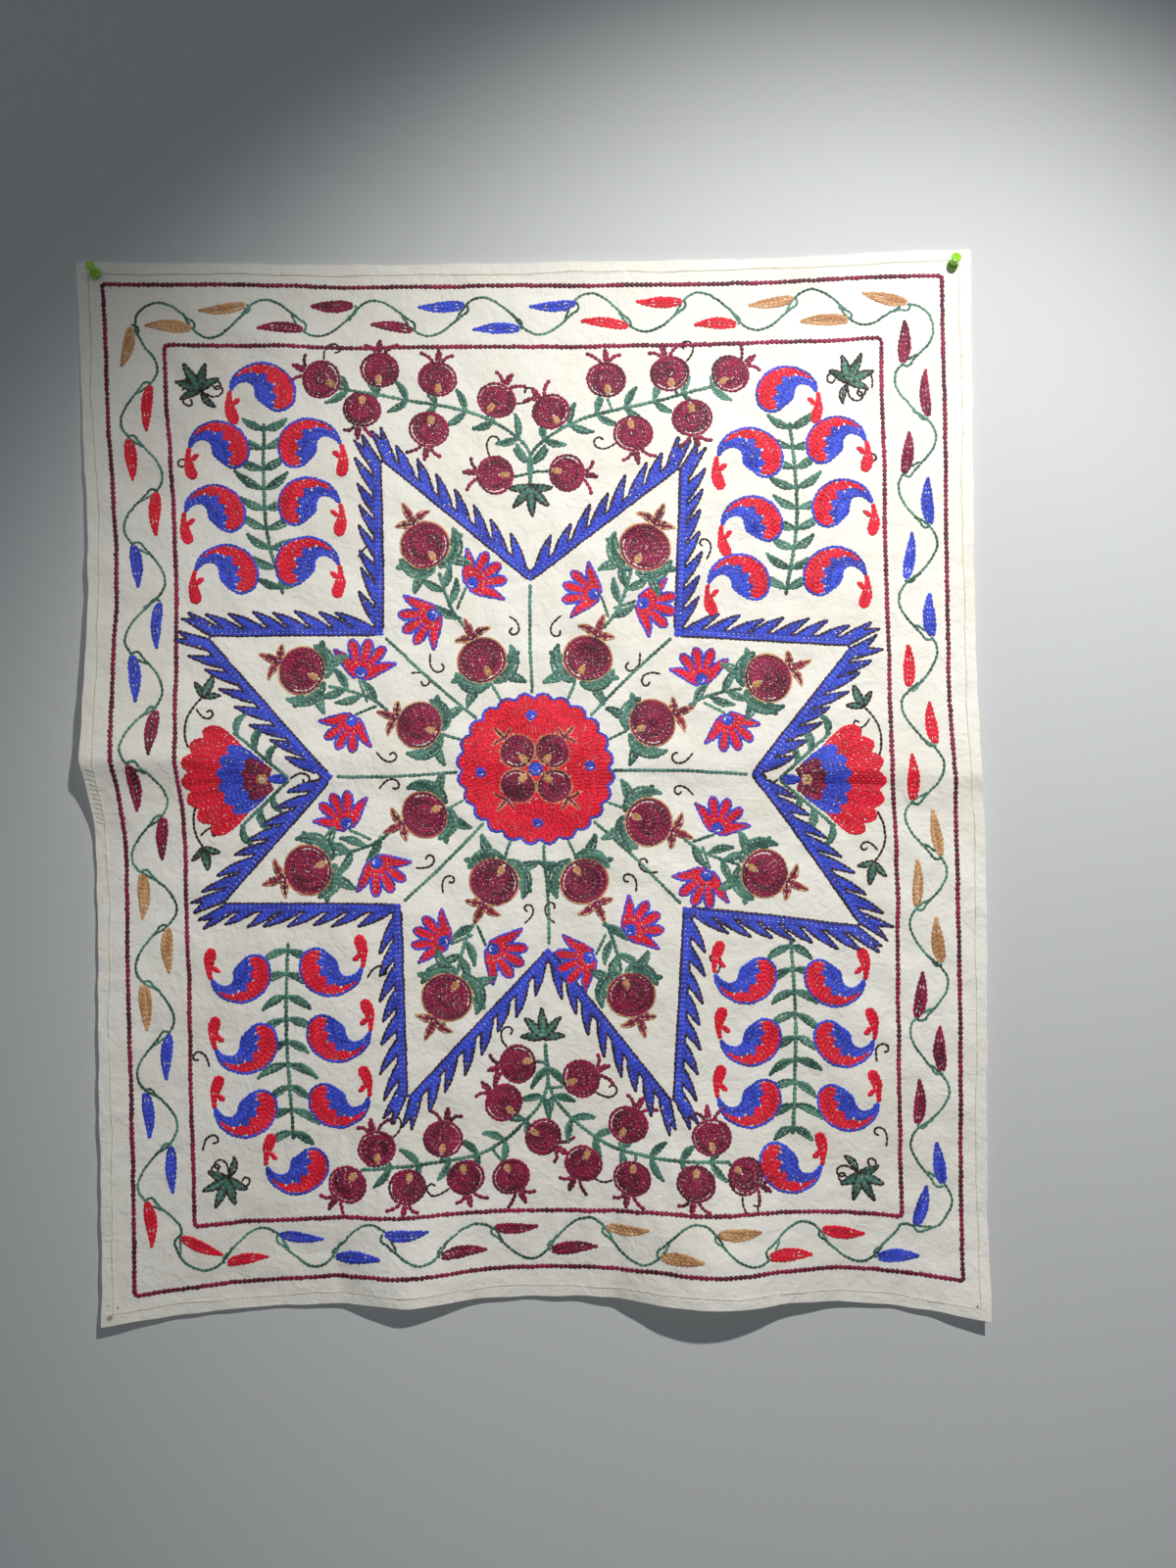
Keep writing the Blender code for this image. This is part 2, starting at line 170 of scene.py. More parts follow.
@dataclass(frozen=True)
class Drape:
    """The shape in which the panel hangs: a place on the flat cloth goes to a place in the room."""

    width: float = 0.840
    height: float = 1.000
    pins: tuple[Pin, ...] = (Pin("left", -0.4015, 0.0110), Pin("right", 0.4025, 0.0150))
    flat_zone: float = 24.5 * MM
    free_zone: float = 110 * MM
    stand_off_middle: float = 3.0 * MM
    stand_off_reach: float = 0.22
    crease_height: float = 0.482
    crease_slope: float = 0.025
    crease_rounding: float = 4 * MM
    crease_above: float = 0.095
    crease_below: float = 0.030
    crumple: float = 0.20 * MM
    probe: float = 0.4 * MM
    top_drop: EdgeCurve = EdgeCurve((-0.42, -0.31, -0.12, 0.10, 0.25, 0.34, 0.42),
                                    (0.0, 0.0024, 0.0074, 0.0080, 0.0060, 0.0018, 0.0005))
    bottom_rise: EdgeCurve = EdgeCurve((-0.42, -0.28, -0.12, 0.06, 0.20, 0.30, 0.38, 0.42),
                                       (0.0073, 0.0195, 0.0245, 0.0268, 0.0238, 0.0160, 0.0060, 0.0005))
    left_inset: EdgeCurve = EdgeCurve((0.0, 0.12, 0.30, 0.47, 0.54, 0.78, 1.0),
                                      (0.0004, 0.0050, 0.0128, 0.0100, 0.0132, 0.0138, 0.0142))
    right_inset: EdgeCurve = EdgeCurve((0.0, 0.30, 0.48, 0.56, 0.78, 1.0),
                                       (0.0005, 0.0032, 0.0022, -0.0012, -0.0004, 0.0012))
    crease_ridge: EdgeCurve = EdgeCurve((-0.42, -0.34, -0.20, 0.0, 0.22, 0.34, 0.42),
                                        (0.0190, 0.0130, 0.0075, 0.0050, 0.0065, 0.0095, 0.0110))
    folds: tuple[SoftFold, ...] = (
        SoftFold("left tongue at the bottom", -0.128, 1.0, 0.050, 0.105, 0.2, 0.08, 0.0195),
        SoftFold("right tongue at the bottom", 0.158, 1.0, 0.080, 0.135, 0.2, 0.05, 0.0370),
        SoftFold("left edge standing off", -0.435, 0.44, 0.075, 0.210, 0.075, 0.0, 0.0120),
        SoftFold("left edge below the crease", -0.430, 0.80, 0.060, 0.190, 0.30, 0.0, 0.0065),
        SoftFold("right edge below the crease", 0.440, 0.60, 0.080, 0.090, 0.24, 0.0, 0.0085),
        SoftFold("right foot corner lifting", 0.425, 1.01, 0.055, 0.070, 0.1, 0.0, 0.0125),
        SoftFold("left foot corner lifting", -0.425, 1.01, 0.050, 0.060, 0.1, 0.0, 0.0060),
        SoftFold("swelling left of the middle", -0.170, 0.66, 0.095, 0.110, 0.150, 0.10, 0.0060),
        SoftFold("swelling right of the middle", 0.120, 0.70, 0.085, 0.130, 0.160, -0.06, 0.0070),
        SoftFold("upper left swelling", -0.190, 0.20, 0.110, 0.120, 0.120, 0.30, 0.0045),
        SoftFold("upper right swelling", 0.200, 0.24, 0.120, 0.130, 0.110, -0.20, 0.0040),
        SoftFold("top edge between the pins", 0.040, 0.0, 0.170, 0.100, 0.070, 0.0, 0.0040),
    )
    drags: tuple[LineFold, ...] = (
        LineFold("steep drag from the left pin", (-0.4015, 0.0110), (-0.2515, 0.1719), 0.012, 0.0032),
        LineFold("shallow drag from the left pin", (-0.4015, 0.0110), (-0.1604, 0.1084), 0.014, 0.0022),
        LineFold("drag from the right pin", (0.4025, 0.0150), (0.2493, 0.1436), 0.013, 0.0026),
    )
    creases: tuple[LineFold, ...] = (
        LineFold("trough beside the left tongue", (-0.205, 0.86), (-0.188, 1.08), 0.010, -0.0016),
        LineFold("trough beside the right tongue", (0.062, 0.84), (0.070, 1.10), 0.010, -0.0020),
        LineFold("trough right of the right tongue", (0.212, 0.90), (0.226, 1.10), 0.012, -0.0015),
        LineFold("upright crease in the lower middle", (0.068, 0.56), (0.058, 0.80), 0.007, -0.0010),
        LineFold("slant crease at the lower right", (0.36, 0.80), (0.30, 0.93), 0.010, -0.0014),
        LineFold("second slant crease at the lower right", (0.405, 0.86), (0.36, 0.985), 0.009, 0.0014),
        LineFold("crease under the right crease end", (0.27, 0.525), (0.43, 0.530), 0.006, -0.0012),
        LineFold("crease along the left border", (-0.375, 0.52), (-0.372, 0.90), 0.006, -0.0008),
        LineFold("crease along the top border", (-0.30, 0.052), (0.02, 0.060), 0.008, -0.0007),
        LineFold("slant crease from the upper left", (-0.33, 0.06), (-0.22, 0.20), 0.008, -0.0010),
        LineFold("crease above the foot", (-0.38, 0.955), (-0.06, 0.945), 0.006, -0.0009),
        LineFold("crease above the right foot", (0.10, 0.935), (0.36, 0.960), 0.007, -0.0009),
        LineFold("second fold line, left", (-0.42, 0.497), (-0.16, 0.500), 0.004, -0.0009),
        LineFold("second fold line, right", (0.20, 0.505), (0.42, 0.508), 0.004, -0.0011),
    )
    ripples: tuple[Ripple, ...] = (
        Ripple("puckers over the left tongue", -0.185, 0.875, 0.060, 0.070, 0.0150, 6, 0.00060),
        Ripple("puckers under the lower vine", -0.120, 0.945, 0.090, 0.030, 0.0130, 4, 0.00050),
        Ripple("puckers under the fruit, middle", 0.020, 0.905, 0.110, 0.040, 0.0165, -3, 0.00045),
        Ripple("puckers over the right tongue", 0.185, 0.880, 0.080, 0.060, 0.0170, -6, 0.00050),
        Ripple("puckers by the left carnation", -0.300, 0.560, 0.050, 0.050, 0.0150, 25, 0.00040),
        Ripple("puckers by the right carnation", 0.300, 0.570, 0.050, 0.050, 0.0160, -20, 0.00045),
        Ripple("puckers between the upper fruit", 0.010, 0.165, 0.110, 0.050, 0.0180, 10, 0.00030),
        Ripple("puckers in the upper left panel", -0.250, 0.240, 0.060, 0.080, 0.0170, 80, 0.00030),
        Ripple("puckers in the upper right panel", 0.250, 0.240, 0.060, 0.080, 0.0160, 95, 0.00030),
        Ripple("puckers in the lower left panel", -0.240, 0.760, 0.060, 0.080, 0.0150, 12, 0.00040),
        Ripple("puckers in the lower right panel", 0.240, 0.770, 0.060, 0.080, 0.0160, -10, 0.00040),
        Ripple("puckers round the rosette", 0.000, 0.490, 0.130, 0.130, 0.0190, 38, 0.00028),
    )

    def freedom(self, u: Array, v: Array) -> Array:
        """Return 0 where a pin presses the cloth to the wall, 1 far from the pins."""
        free = np.ones(np.shape(u))
        for pin in self.pins:
            away = np.maximum(np.abs(u - pin.u), np.abs(v - pin.v))
            free = free * ease((away - self.flat_zone) / (self.free_zone - self.flat_zone))
        return free

    def stand_off(self, u: Array, v: Array) -> Array:
        """Return the distance from the wall to the back of the hem's plane, fine creases left out."""
        depth = self.stand_off_middle * ease(v / self.stand_off_reach)
        down = v - (self.crease_height + self.crease_slope * u)
        rounded = np.hypot(down, self.crease_rounding) - self.crease_rounding
        reach = np.where(down > 0, self.crease_below, self.crease_above)
        depth = depth + self.crease_ridge.read(u) * np.exp(-rounded / reach)
        for fold in self.folds + self.drags:
            depth = depth + fold.height_at(u, v)
        return depth * self.freedom(u, v)

    def relief(self, u: Array, v: Array) -> Array:
        """Return how far the fine creases, puckers and crumples stand out from the main shape."""
        fine = np.zeros(np.shape(u))
        for fold in self.creases + self.ripples:
            fine = fine + fold.height_at(u, v)
        hand = np.random.default_rng(41)
        for _ in range(16):
            wave = hand.uniform(0.016, 0.060)
            turn, start = hand.uniform(0, math.tau, 2)
            reach = hand.uniform(0.5, 1.3) * self.crumple * (wave / 0.06) ** 0.6
            fine = fine + reach * np.sin((u * math.cos(turn) + v * math.sin(turn)) / wave * math.tau + start)
        return fine

    def hang(self, u: Array, v: Array) -> Array:
        """Return where places on the flat cloth hang, on the side towards the wall.

        Args:
            u: distance across the flat cloth from its middle.
            v: distance down the flat cloth from its top edge.

        Returns:
            One place in the room for each place on the cloth.
        """
        across = (u + self.width / 2) / self.width
        down = v / self.height
        x = u + (1 - across) * self.left_inset.read(v) - across * self.right_inset.read(v)
        z = -v - (1 - down) * self.top_drop.read(u) + down * self.bottom_rise.read(u)
        depth = self.stand_off(u, v)
        depth = np.maximum(depth + self.relief(u, v) * np.clip(depth / (2.5 * MM), 0, 1), 0)
        return np.stack([x, -depth, z], axis=-1)

    def outward(self, u: Array, v: Array) -> Array:
        """Return the direction away from the wall at places on the cloth."""
        right = self.hang(u + self.probe, v) - self.hang(u - self.probe, v)
        up = self.hang(u, v - self.probe) - self.hang(u, v + self.probe)
        away = np.cross(right, up)
        return away / np.linalg.norm(away, axis=-1, keepdims=True)


# ---------------------------------------------------------------------------------------------
# Finishes
# ---------------------------------------------------------------------------------------------

class Tree:
    """A short way to write a node tree."""

    def __init__(self, tree: bpy.types.NodeTree) -> None:
        """Keep the tree to write in."""
        self.tree = tree

    def node(self, kind: str, inputs: dict | None = None, **settings: object) -> bpy.types.Node:
        """Add a node.

        Args:
            kind: the node's type.
            inputs: a value or an output socket for each named or numbered input.
            settings: the node's own settings.

        Returns:
            The new node.
        """
        made = self.tree.nodes.new(kind)
        for name, value in settings.items():
            setattr(made, name, value)
        for name, value in (inputs or {}).items():
            if isinstance(value, bpy.types.NodeSocket):
                self.tree.links.new(value, made.inputs[name])
            else:
                made.inputs[name].default_value = value
        return made

    def math(self, operation: str, *values: object) -> bpy.types.NodeSocket:
        """Return the result of a Math node."""
        return self.node("ShaderNodeMath", dict(enumerate(values)), operation=operation).outputs[0]

    def link(self, source: bpy.types.NodeSocket, target: bpy.types.NodeSocket) -> None:
        """Join two sockets."""
        self.tree.links.new(source, target)


def shader_group(name: str, inputs: dict[str, tuple[str, object]], outputs: dict[str, str]) -> tuple[
        bpy.types.NodeTree, Tree, bpy.types.Node, bpy.types.Node]:
    """Start a shader node group.

    Args:
        name: the group's name.
        inputs: each input's socket type and default value.
        outputs: each output's socket type.

    Returns:
        The group, its writer, and its input and output nodes.
    """
    group = bpy.data.node_groups.new(name, "ShaderNodeTree")
    for title, (kind, value) in inputs.items():
        socket = group.interface.new_socket(title, in_out="INPUT", socket_type=kind)
        if value is not None:
            socket.default_value = value
    for title, kind in outputs.items():
        group.interface.new_socket(title, in_out="OUTPUT", socket_type=kind)
    tree = Tree(group)
    return group, tree, tree.node("NodeGroupInput"), tree.node("NodeGroupOutput")


class Effects:
    """Shader node groups that more than one finish uses."""

    def __init__(self) -> None:
        """Build each group once."""
        self.weave = self._weave()
        self.blotch = self._blotch()

    @staticmethod
    def _weave() -> bpy.types.NodeTree:
        """Return the plain weave: warp over weft in turn, with slubs in both."""
        group, t, inside, out = shader_group(
            "Plain weave",
            {"Cloth Place": ("NodeSocketVector", None), "Thread Pitch": ("NodeSocketFloat", 0.0006)},
            {"Height": "NodeSocketFloat", "Slub": "NodeSocketFloat"})
        scaled = t.node("ShaderNodeVectorMath", {0: inside.outputs["Cloth Place"]}, operation="SCALE")
        t.link(t.math("DIVIDE", 1.0, inside.outputs["Thread Pitch"]), scaled.inputs["Scale"])
        wander = t.node("ShaderNodeTexNoise", {"Vector": scaled.outputs[0], "Scale": 0.06, "Detail": 2.0})
        push = t.node("ShaderNodeVectorMath", {0: wander.outputs["Color"], 1: (0.5, 0.5, 0.5)},
                      operation="SUBTRACT")
        bent = t.node("ShaderNodeVectorMath", {0: push.outputs[0], 1: (2.0, 2.0, 2.0),
                                               2: scaled.outputs[0]}, operation="MULTIPLY_ADD")
        place = t.node("ShaderNodeSeparateXYZ", {0: bent.outputs[0]})
        x, y = place.outputs[0], place.outputs[1]
        warp = t.math("ABSOLUTE", t.math("SINE", t.math("MULTIPLY", x, math.pi)))
        weft = t.math("ABSOLUTE", t.math("SINE", t.math("MULTIPLY", y, math.pi)))
        cell = t.math("ADD", t.math("FLOOR", x), t.math("FLOOR", y))
        odd = t.math("PINGPONG", cell, 1.0)
        over = t.math("MULTIPLY", t.math("POWER", warp, 0.6), odd)
        under = t.math("MULTIPLY", t.math("POWER", weft, 0.6), t.math("SUBTRACT", 1.0, odd))
        t.link(t.math("ADD", over, under), out.inputs["Height"])
        long_x = t.node("ShaderNodeVectorMath", {0: scaled.outputs[0], 1: (0.04, 1.0, 1.0)},
                        operation="MULTIPLY")
        long_y = t.node("ShaderNodeVectorMath", {0: scaled.outputs[0], 1: (1.0, 0.04, 1.0)},
                        operation="MULTIPLY")
        weft_slub = t.node("ShaderNodeTexNoise", {"Vector": long_x.outputs[0], "Scale": 0.8, "Detail": 1.0})
        warp_slub = t.node("ShaderNodeTexNoise", {"Vector": long_y.outputs[0], "Scale": 0.8, "Detail": 1.0})
        both = t.math("ADD", weft_slub.outputs["Fac"], warp_slub.outputs["Fac"])
        t.link(t.math("MULTIPLY", both, 0.5), out.inputs["Slub"])
        return group

    @staticmethod
    def _blotch() -> bpy.types.NodeTree:
        """Return slow uneven patches of colour, as dye and handling leave them."""
        group, t, inside, out = shader_group(
            "Uneven colour",
            {"Place": ("NodeSocketVector", None), "Patch Size": ("NodeSocketFloat", 0.05),
             "Light": ("NodeSocketColor", (1, 1, 1, 1)), "Dark": ("NodeSocketColor", (0, 0, 0, 1)),
             "Bias": ("NodeSocketFloat", 0.0)},
            {"Color": "NodeSocketColor", "Amount": "NodeSocketFloat"})
        noise = t.node("ShaderNodeTexNoise", {"Vector": inside.outputs["Place"], "Detail": 3.0,
                                              "Roughness": 0.6})
        t.link(t.math("DIVIDE", 1.0, inside.outputs["Patch Size"]), noise.inputs["Scale"])
        spread = t.math("MULTIPLY", t.math("SUBTRACT", noise.outputs["Fac"], 0.5), 2.4)
        amount = t.node("ShaderNodeClamp", {"Value": t.math("ADD", t.math("ADD", spread, 0.5),
                                                            inside.outputs["Bias"])})
        mix = t.node("ShaderNodeMix", data_type="RGBA")
        t.link(amount.outputs[0], mix.inputs[0])
        t.link(inside.outputs["Dark"], mix.inputs[6])
        t.link(inside.outputs["Light"], mix.inputs[7])
        t.link(mix.outputs[2], out.inputs["Color"])
        t.link(amount.outputs[0], out.inputs["Amount"])
        return group


def new_material(name: str) -> tuple[bpy.types.Material, Tree, bpy.types.Node]:
    """Start a material.

    Args:
        name: the material's name.

    Returns:
        The material, its writer and its Principled shader.
    """
    material = bpy.data.materials.new(name)
    material.use_nodes = True
    return material, Tree(material.node_tree), material.node_tree.nodes["Principled BSDF"]


@dataclass(frozen=True)
class CottonFinish:
    """Off-white plain-weave cotton, a little yellowed where it has been handled, with painted shade in the
    hollows of its weave.
    """

    name: str = "cotton_cloth"
    fresh: tuple[float, float, float] = (0.86, 0.84, 0.77)
    yellowed: tuple[float, float, float] = (0.78, 0.74, 0.64)
    stain: tuple[float, float, float] = (0.16, 0.12, 0.08)
    pencil: tuple[float, float, float] = (0.30, 0.30, 0.32)
    thread_pitch: float = 0.65 * MM
    roughness: float = 0.88
    # a spot's place on the flat cloth (across, down from the top) and its radius
    spots: tuple[tuple[float, float, float], ...] = (
        (-0.412, 0.992, 0.0042), (-0.405, 0.984, 0.0018), (-0.4135, 0.981, 0.0014),
        (0.407, 0.988, 0.0024), (-0.388, 0.024, 0.0010), (0.371, 0.548, 0.0011),
    )
    # a pencil curl's middle and radius on the flat cloth
    curls: tuple[tuple[float, float, float], ...] = ((-0.377, 0.955, 0.0060), (0.031, 0.950, 0.0046))

    def make(self, effects: Effects, cloth_map: str) -> bpy.types.Material:
        """Return the material.

        Args:
            effects: the shared node groups.
            cloth_map: the UV map that holds each place on the flat cloth.

        Returns:
            The cotton material.
        """
        material, t, shader = new_material(self.name)
        cloth = t.node("ShaderNodeUVMap", uv_map=cloth_map).outputs[0]
        weave = t.node("ShaderNodeGroup", node_tree=effects.weave)
        t.link(cloth, weave.inputs["Cloth Place"])
        weave.inputs["Thread Pitch"].default_value = self.thread_pitch
        tone = t.node("ShaderNodeGroup", node_tree=effects.blotch)
        t.link(cloth, tone.inputs["Place"])
        tone.inputs["Patch Size"].default_value = 0.11
        tone.inputs["Light"].default_value = (*self.fresh, 1)
        tone.inputs["Dark"].default_value = (*self.yellowed, 1)
        tone.inputs["Bias"].default_value = 0.30
        colour = tone.outputs["Color"]
        # Painted shade: the weave's height darkens the colour in the hollows between the threads. The slubs
        # are the threads' own uneven tone.
        shade = t.math("MULTIPLY_ADD", weave.outputs["Height"], 0.10, 0.90)
        slub = t.math("MULTIPLY_ADD", weave.outputs["Slub"], 0.16, 0.92)
        threads = t.node("ShaderNodeMix", {0: 1.0, 6: colour}, data_type="RGBA", blend_type="MULTIPLY")
        grey = t.node("ShaderNodeCombineColor")
        for channel in range(3):
            t.link(t.math("MULTIPLY", shade, slub), grey.inputs[channel])
        t.link(grey.outputs[0], threads.inputs[7])
        colour = threads.outputs[2]
        for u, v, radius in self.spots:
            colour = self._mark(t, colour, self.stain, self._spot(t, cloth, u, v, radius))
        for u, v, radius in self.curls:
            colour = self._mark(t, colour, self.pencil, self._curl(t, cloth, u, v, radius))
        t.link(colour, shader.inputs["Base Color"])
        rough = t.math("MULTIPLY_ADD", weave.outputs["Slub"], 0.10, self.roughness - 0.05)
        t.link(rough, shader.inputs["Roughness"])
        shader.inputs["Sheen Weight"].default_value = 0.12
        shader.inputs["Sheen Roughness"].default_value = 0.5
        crumple = t.node("ShaderNodeTexNoise", {"Vector": cloth, "Scale": 95.0, "Detail": 4.0,
                                                "Roughness": 0.55, "Distortion": 0.6})
        soft = t.node("ShaderNodeBump", {"Strength": 0.50, "Distance": 0.0035,
                                         "Height": crumple.outputs["Fac"]})
        height = t.math("ADD", weave.outputs["Height"], t.math("MULTIPLY", weave.outputs["Slub"], 1.5))
        fine = t.node("ShaderNodeBump", {"Strength": 0.5, "Distance": 0.00022, "Height": height,
                                         "Normal": soft.outputs[0]})
        t.link(fine.outputs[0], shader.inputs["Normal"])
        return material

    @staticmethod
    def _mark(t: Tree, colour: bpy.types.NodeSocket, paint: tuple[float, float, float],
              amount: bpy.types.NodeSocket) -> bpy.types.NodeSocket:
        """Return the colour with a mark laid over it."""
        return t.node("ShaderNodeMix", {0: amount, 6: colour, 7: (*paint, 1)}, data_type="RGBA").outputs[2]

    @staticmethod
    def _away(t: Tree, cloth: bpy.types.NodeSocket, u: float, v: float) -> bpy.types.NodeSocket:
        """Return the vector to each place from one place on the cloth."""
        return t.node("ShaderNodeVectorMath", {0: cloth, 1: (u, -v, 0)}, operation="SUBTRACT").outputs[0]

    def _spot(self, t: Tree, cloth: bpy.types.NodeSocket, u: float, v: float,
              radius: float) -> bpy.types.NodeSocket:
        """Return a ragged spot's mask."""
        away = self._away(t, cloth, u, v)
        size = t.node("ShaderNodeVectorMath", {0: away}, operation="LENGTH").outputs["Value"]
        ragged = t.node("ShaderNodeTexNoise", {"Vector": cloth, "Scale": 900.0, "Detail": 2.0})
        reach = t.math("MULTIPLY", t.math("ADD", ragged.outputs["Fac"], 0.35), radius)
        edge = t.math("DIVIDE", t.math("SUBTRACT", reach, size), radius * 0.5)
        return t.math("MULTIPLY", t.node("ShaderNodeClamp", {"Value": edge}).outputs[0], 0.75)

    def _curl(self, t: Tree, cloth: bpy.types.NodeSocket, u: float, v: float,
              radius: float) -> bpy.types.NodeSocket:
        """Return a faint pencil curl's mask: a line that winds in once."""
        place = t.node("ShaderNodeSeparateXYZ", {0: self._away(t, cloth, u, v)})
        angle = t.math("ARCTAN2", place.outputs[1], place.outputs[0])
        size = t.math("SQRT", t.math("ADD", t.math("POWER", place.outputs[0], 2.0),
                                     t.math("POWER", place.outputs[1], 2.0)))
        line = t.math("MULTIPLY", t.math("ADD", t.math("DIVIDE", angle, math.tau), 0.75), radius * 0.8)
        off = t.math("ABSOLUTE", t.math("SUBTRACT", size, line))
        return t.math("MULTIPLY", t.math("LESS_THAN", off, 0.00035), 0.45)


@dataclass(frozen=True)
class ThreadFinish:
    """Stranded cotton: bright and deep ends of its dye, the twist of its strands, and painted shade in the
    twist's grooves.
    """

    name: str
    bright: tuple[float, float, float]
    deep: tuple[float, float, float]
    bias: float = 0.0
    roughness: float = 0.58
    sheen: float = 0.08

    def make(self) -> bpy.types.Material:
        """Return the material; it reads the stitches' own dye and shade, and their own map."""
        material, t, shader = new_material(self.name)
        dye = t.node("ShaderNodeAttribute", attribute_name="dye").outputs["Fac"]
        shade = t.node("ShaderNodeAttribute", attribute_name="shade").outputs["Fac"]
        spread = t.math("ADD", t.math("MULTIPLY", dye, 0.75), t.math("MULTIPLY", shade, 0.35))
        amount = t.node("ShaderNodeClamp", {"Value": t.math("ADD", spread, self.bias - 0.05)})
        mix = t.node("ShaderNodeMix", {0: amount.outputs[0], 6: (*self.deep, 1), 7: (*self.bright, 1)},
                     data_type="RGBA")
        stitch = t.node("ShaderNodeUVMap", uv_map=Stitcher.STITCH_MAP).outputs[0]
        place = t.node("ShaderNodeSeparateXYZ", {0: stitch})
        along, across = place.outputs[0], place.outputs[1]
        slant = t.math("MULTIPLY", t.math("ABSOLUTE", across), 2.2)
        lean = t.math("ADD", t.math("MULTIPLY", along, 3.0), slant)
        strand = t.math("SINE", t.math("MULTIPLY", lean, math.tau))
        # Painted shade: the colour is darkened in the grooves of the twist, the same wave that the bump
        # shapes.
        light = t.math("MULTIPLY_ADD", strand, 0.10, 0.95)
        grey = t.node("ShaderNodeCombineColor")
        for channel in range(3):
            t.link(light, grey.inputs[channel])
        twist = t.node("ShaderNodeMix", {0: 1.0, 6: mix.outputs[2], 7: grey.outputs[0]},
                       data_type="RGBA", blend_type="MULTIPLY")
        t.link(twist.outputs[2], shader.inputs["Base Color"])
        t.link(t.math("MULTIPLY_ADD", shade, 0.14, self.roughness - 0.07), shader.inputs["Roughness"])
        shader.inputs["Sheen Weight"].default_value = self.sheen
        shader.inputs["Sheen Roughness"].default_value = 0.35
        shader.inputs["Sheen Tint"].default_value = (*self.bright, 1)
        bump = t.node("ShaderNodeBump", {"Strength": 0.5, "Distance": 0.00018, "Height": strand})
        t.link(bump.outputs[0], shader.inputs["Normal"])
        return material


@dataclass(frozen=True)
class PlasticFinish:
    """Glossy moulded plastic, faintly scuffed by fingers."""

    name: str = "pin_plastic"
    colour: tuple[float, float, float] = (0.26, 0.60, 0.03)
    worn: tuple[float, float, float] = (0.20, 0.47, 0.03)
    roughness: float = 0.24

    def make(self, effects: Effects) -> bpy.types.Material:
        """Return the material."""
        material, t, shader = new_material(self.name)
        place = t.node("ShaderNodeTexCoord").outputs["Object"]
        tone = t.node("ShaderNodeGroup", node_tree=effects.blotch)
        t.link(place, tone.inputs["Place"])
        tone.inputs["Patch Size"].default_value = 0.006
        tone.inputs["Light"].default_value = (*self.colour, 1)
        tone.inputs["Dark"].default_value = (*self.worn, 1)
        tone.inputs["Bias"].default_value = 0.35
        t.link(tone.outputs["Color"], shader.inputs["Base Color"])
        scuff = t.node("ShaderNodeTexNoise", {"Vector": place, "Scale": 900.0, "Detail": 3.0})
        rough = t.math("MULTIPLY_ADD", scuff.outputs["Fac"], 0.16, self.roughness - 0.06)
        t.link(rough, shader.inputs["Roughness"])
        shader.inputs["Coat Weight"].default_value = 0.3
        shader.inputs["Coat Roughness"].default_value = 0.15
        bump = t.node("ShaderNodeBump", {"Strength": 0.12, "Distance": 0.0001,
                                         "Height": scuff.outputs["Fac"]})
        t.link(bump.outputs[0], shader.inputs["Normal"])
        return material


@dataclass(frozen=True)
class SteelFinish:
    """Bright drawn wire with fine lines along it."""

    name: str = "pin_steel"
    colour: tuple[float, float, float] = (0.56, 0.55, 0.53)
    dull: tuple[float, float, float] = (0.42, 0.40, 0.37)
    roughness: float = 0.26

    def make(self, effects: Effects) -> bpy.types.Material:
        """Return the material."""
        material, t, shader = new_material(self.name)
        place = t.node("ShaderNodeTexCoord").outputs["Object"]
        tone = t.node("ShaderNodeGroup", node_tree=effects.blotch)
        t.link(place, tone.inputs["Place"])
        tone.inputs["Patch Size"].default_value = 0.003
        tone.inputs["Light"].default_value = (*self.colour, 1)
        tone.inputs["Dark"].default_value = (*self.dull, 1)
        t.link(tone.outputs["Color"], shader.inputs["Base Color"])
        shader.inputs["Metallic"].default_value = 1.0
        drawn = t.node("ShaderNodeVectorMath", {0: place, 1: (5000.0, 200.0, 5000.0)}, operation="MULTIPLY")
        lines = t.node("ShaderNodeTexNoise", {"Vector": drawn.outputs[0], "Scale": 1.0, "Detail": 2.0})
        rough = t.math("MULTIPLY_ADD", lines.outputs["Fac"], 0.2, self.roughness - 0.1)
        t.link(rough, shader.inputs["Roughness"])
        bump = t.node("ShaderNodeBump", {"Strength": 0.2, "Distance": 0.00003,
                                         "Height": lines.outputs["Fac"]})
        t.link(bump.outputs[0], shader.inputs["Normal"])
        return material


class Thread(Enum):
    """The embroidery threads, each with its finish."""

    RED = ThreadFinish("red_thread", (0.88, 0.006, 0.040), (0.52, 0.003, 0.016), bias=0.18)
    BLUE = ThreadFinish("blue_thread", (0.050, 0.095, 0.78), (0.016, 0.028, 0.32), bias=0.12)
    MAROON = ThreadFinish("maroon_thread", (0.38, 0.010, 0.075), (0.075, 0.003, 0.018), bias=-0.02)
    GREEN = ThreadFinish("green_thread", (0.135, 0.34, 0.26), (0.018, 0.080, 0.060), bias=-0.10)
    GOLD = ThreadFinish("gold_thread", (0.72, 0.42, 0.20), (0.40, 0.17, 0.06), bias=0.10)
    DARK = ThreadFinish("dark_thread", (0.060, 0.018, 0.020), (0.014, 0.005, 0.007), bias=-0.05)
    SEWING = ThreadFinish("sewing_thread", (0.74, 0.69, 0.56), (0.60, 0.54, 0.41), bias=0.1)


# ---------------------------------------------------------------------------------------------
# Drawing with rows of stitches
# ---------------------------------------------------------------------------------------------

ROW_PITCH = 2.5 * MM


@dataclass
class Row:
    """One row of stitches on the flat cloth."""

    places: Array
    thread: Thread
    girth: float = 1.0
    closed: bool = False


def heading(degrees: float) -> Array:
    """Return the unit vector at an angle, counted from right towards up."""
    a = math.radians(degrees)
    return np.array([math.cos(a), math.sin(a)])


def measured(path: Array) -> Array:
    """Return the distance along a path at each of its places."""
    return np.concatenate([[0.0], np.cumsum(np.linalg.norm(np.diff(path, axis=0), axis=1))])


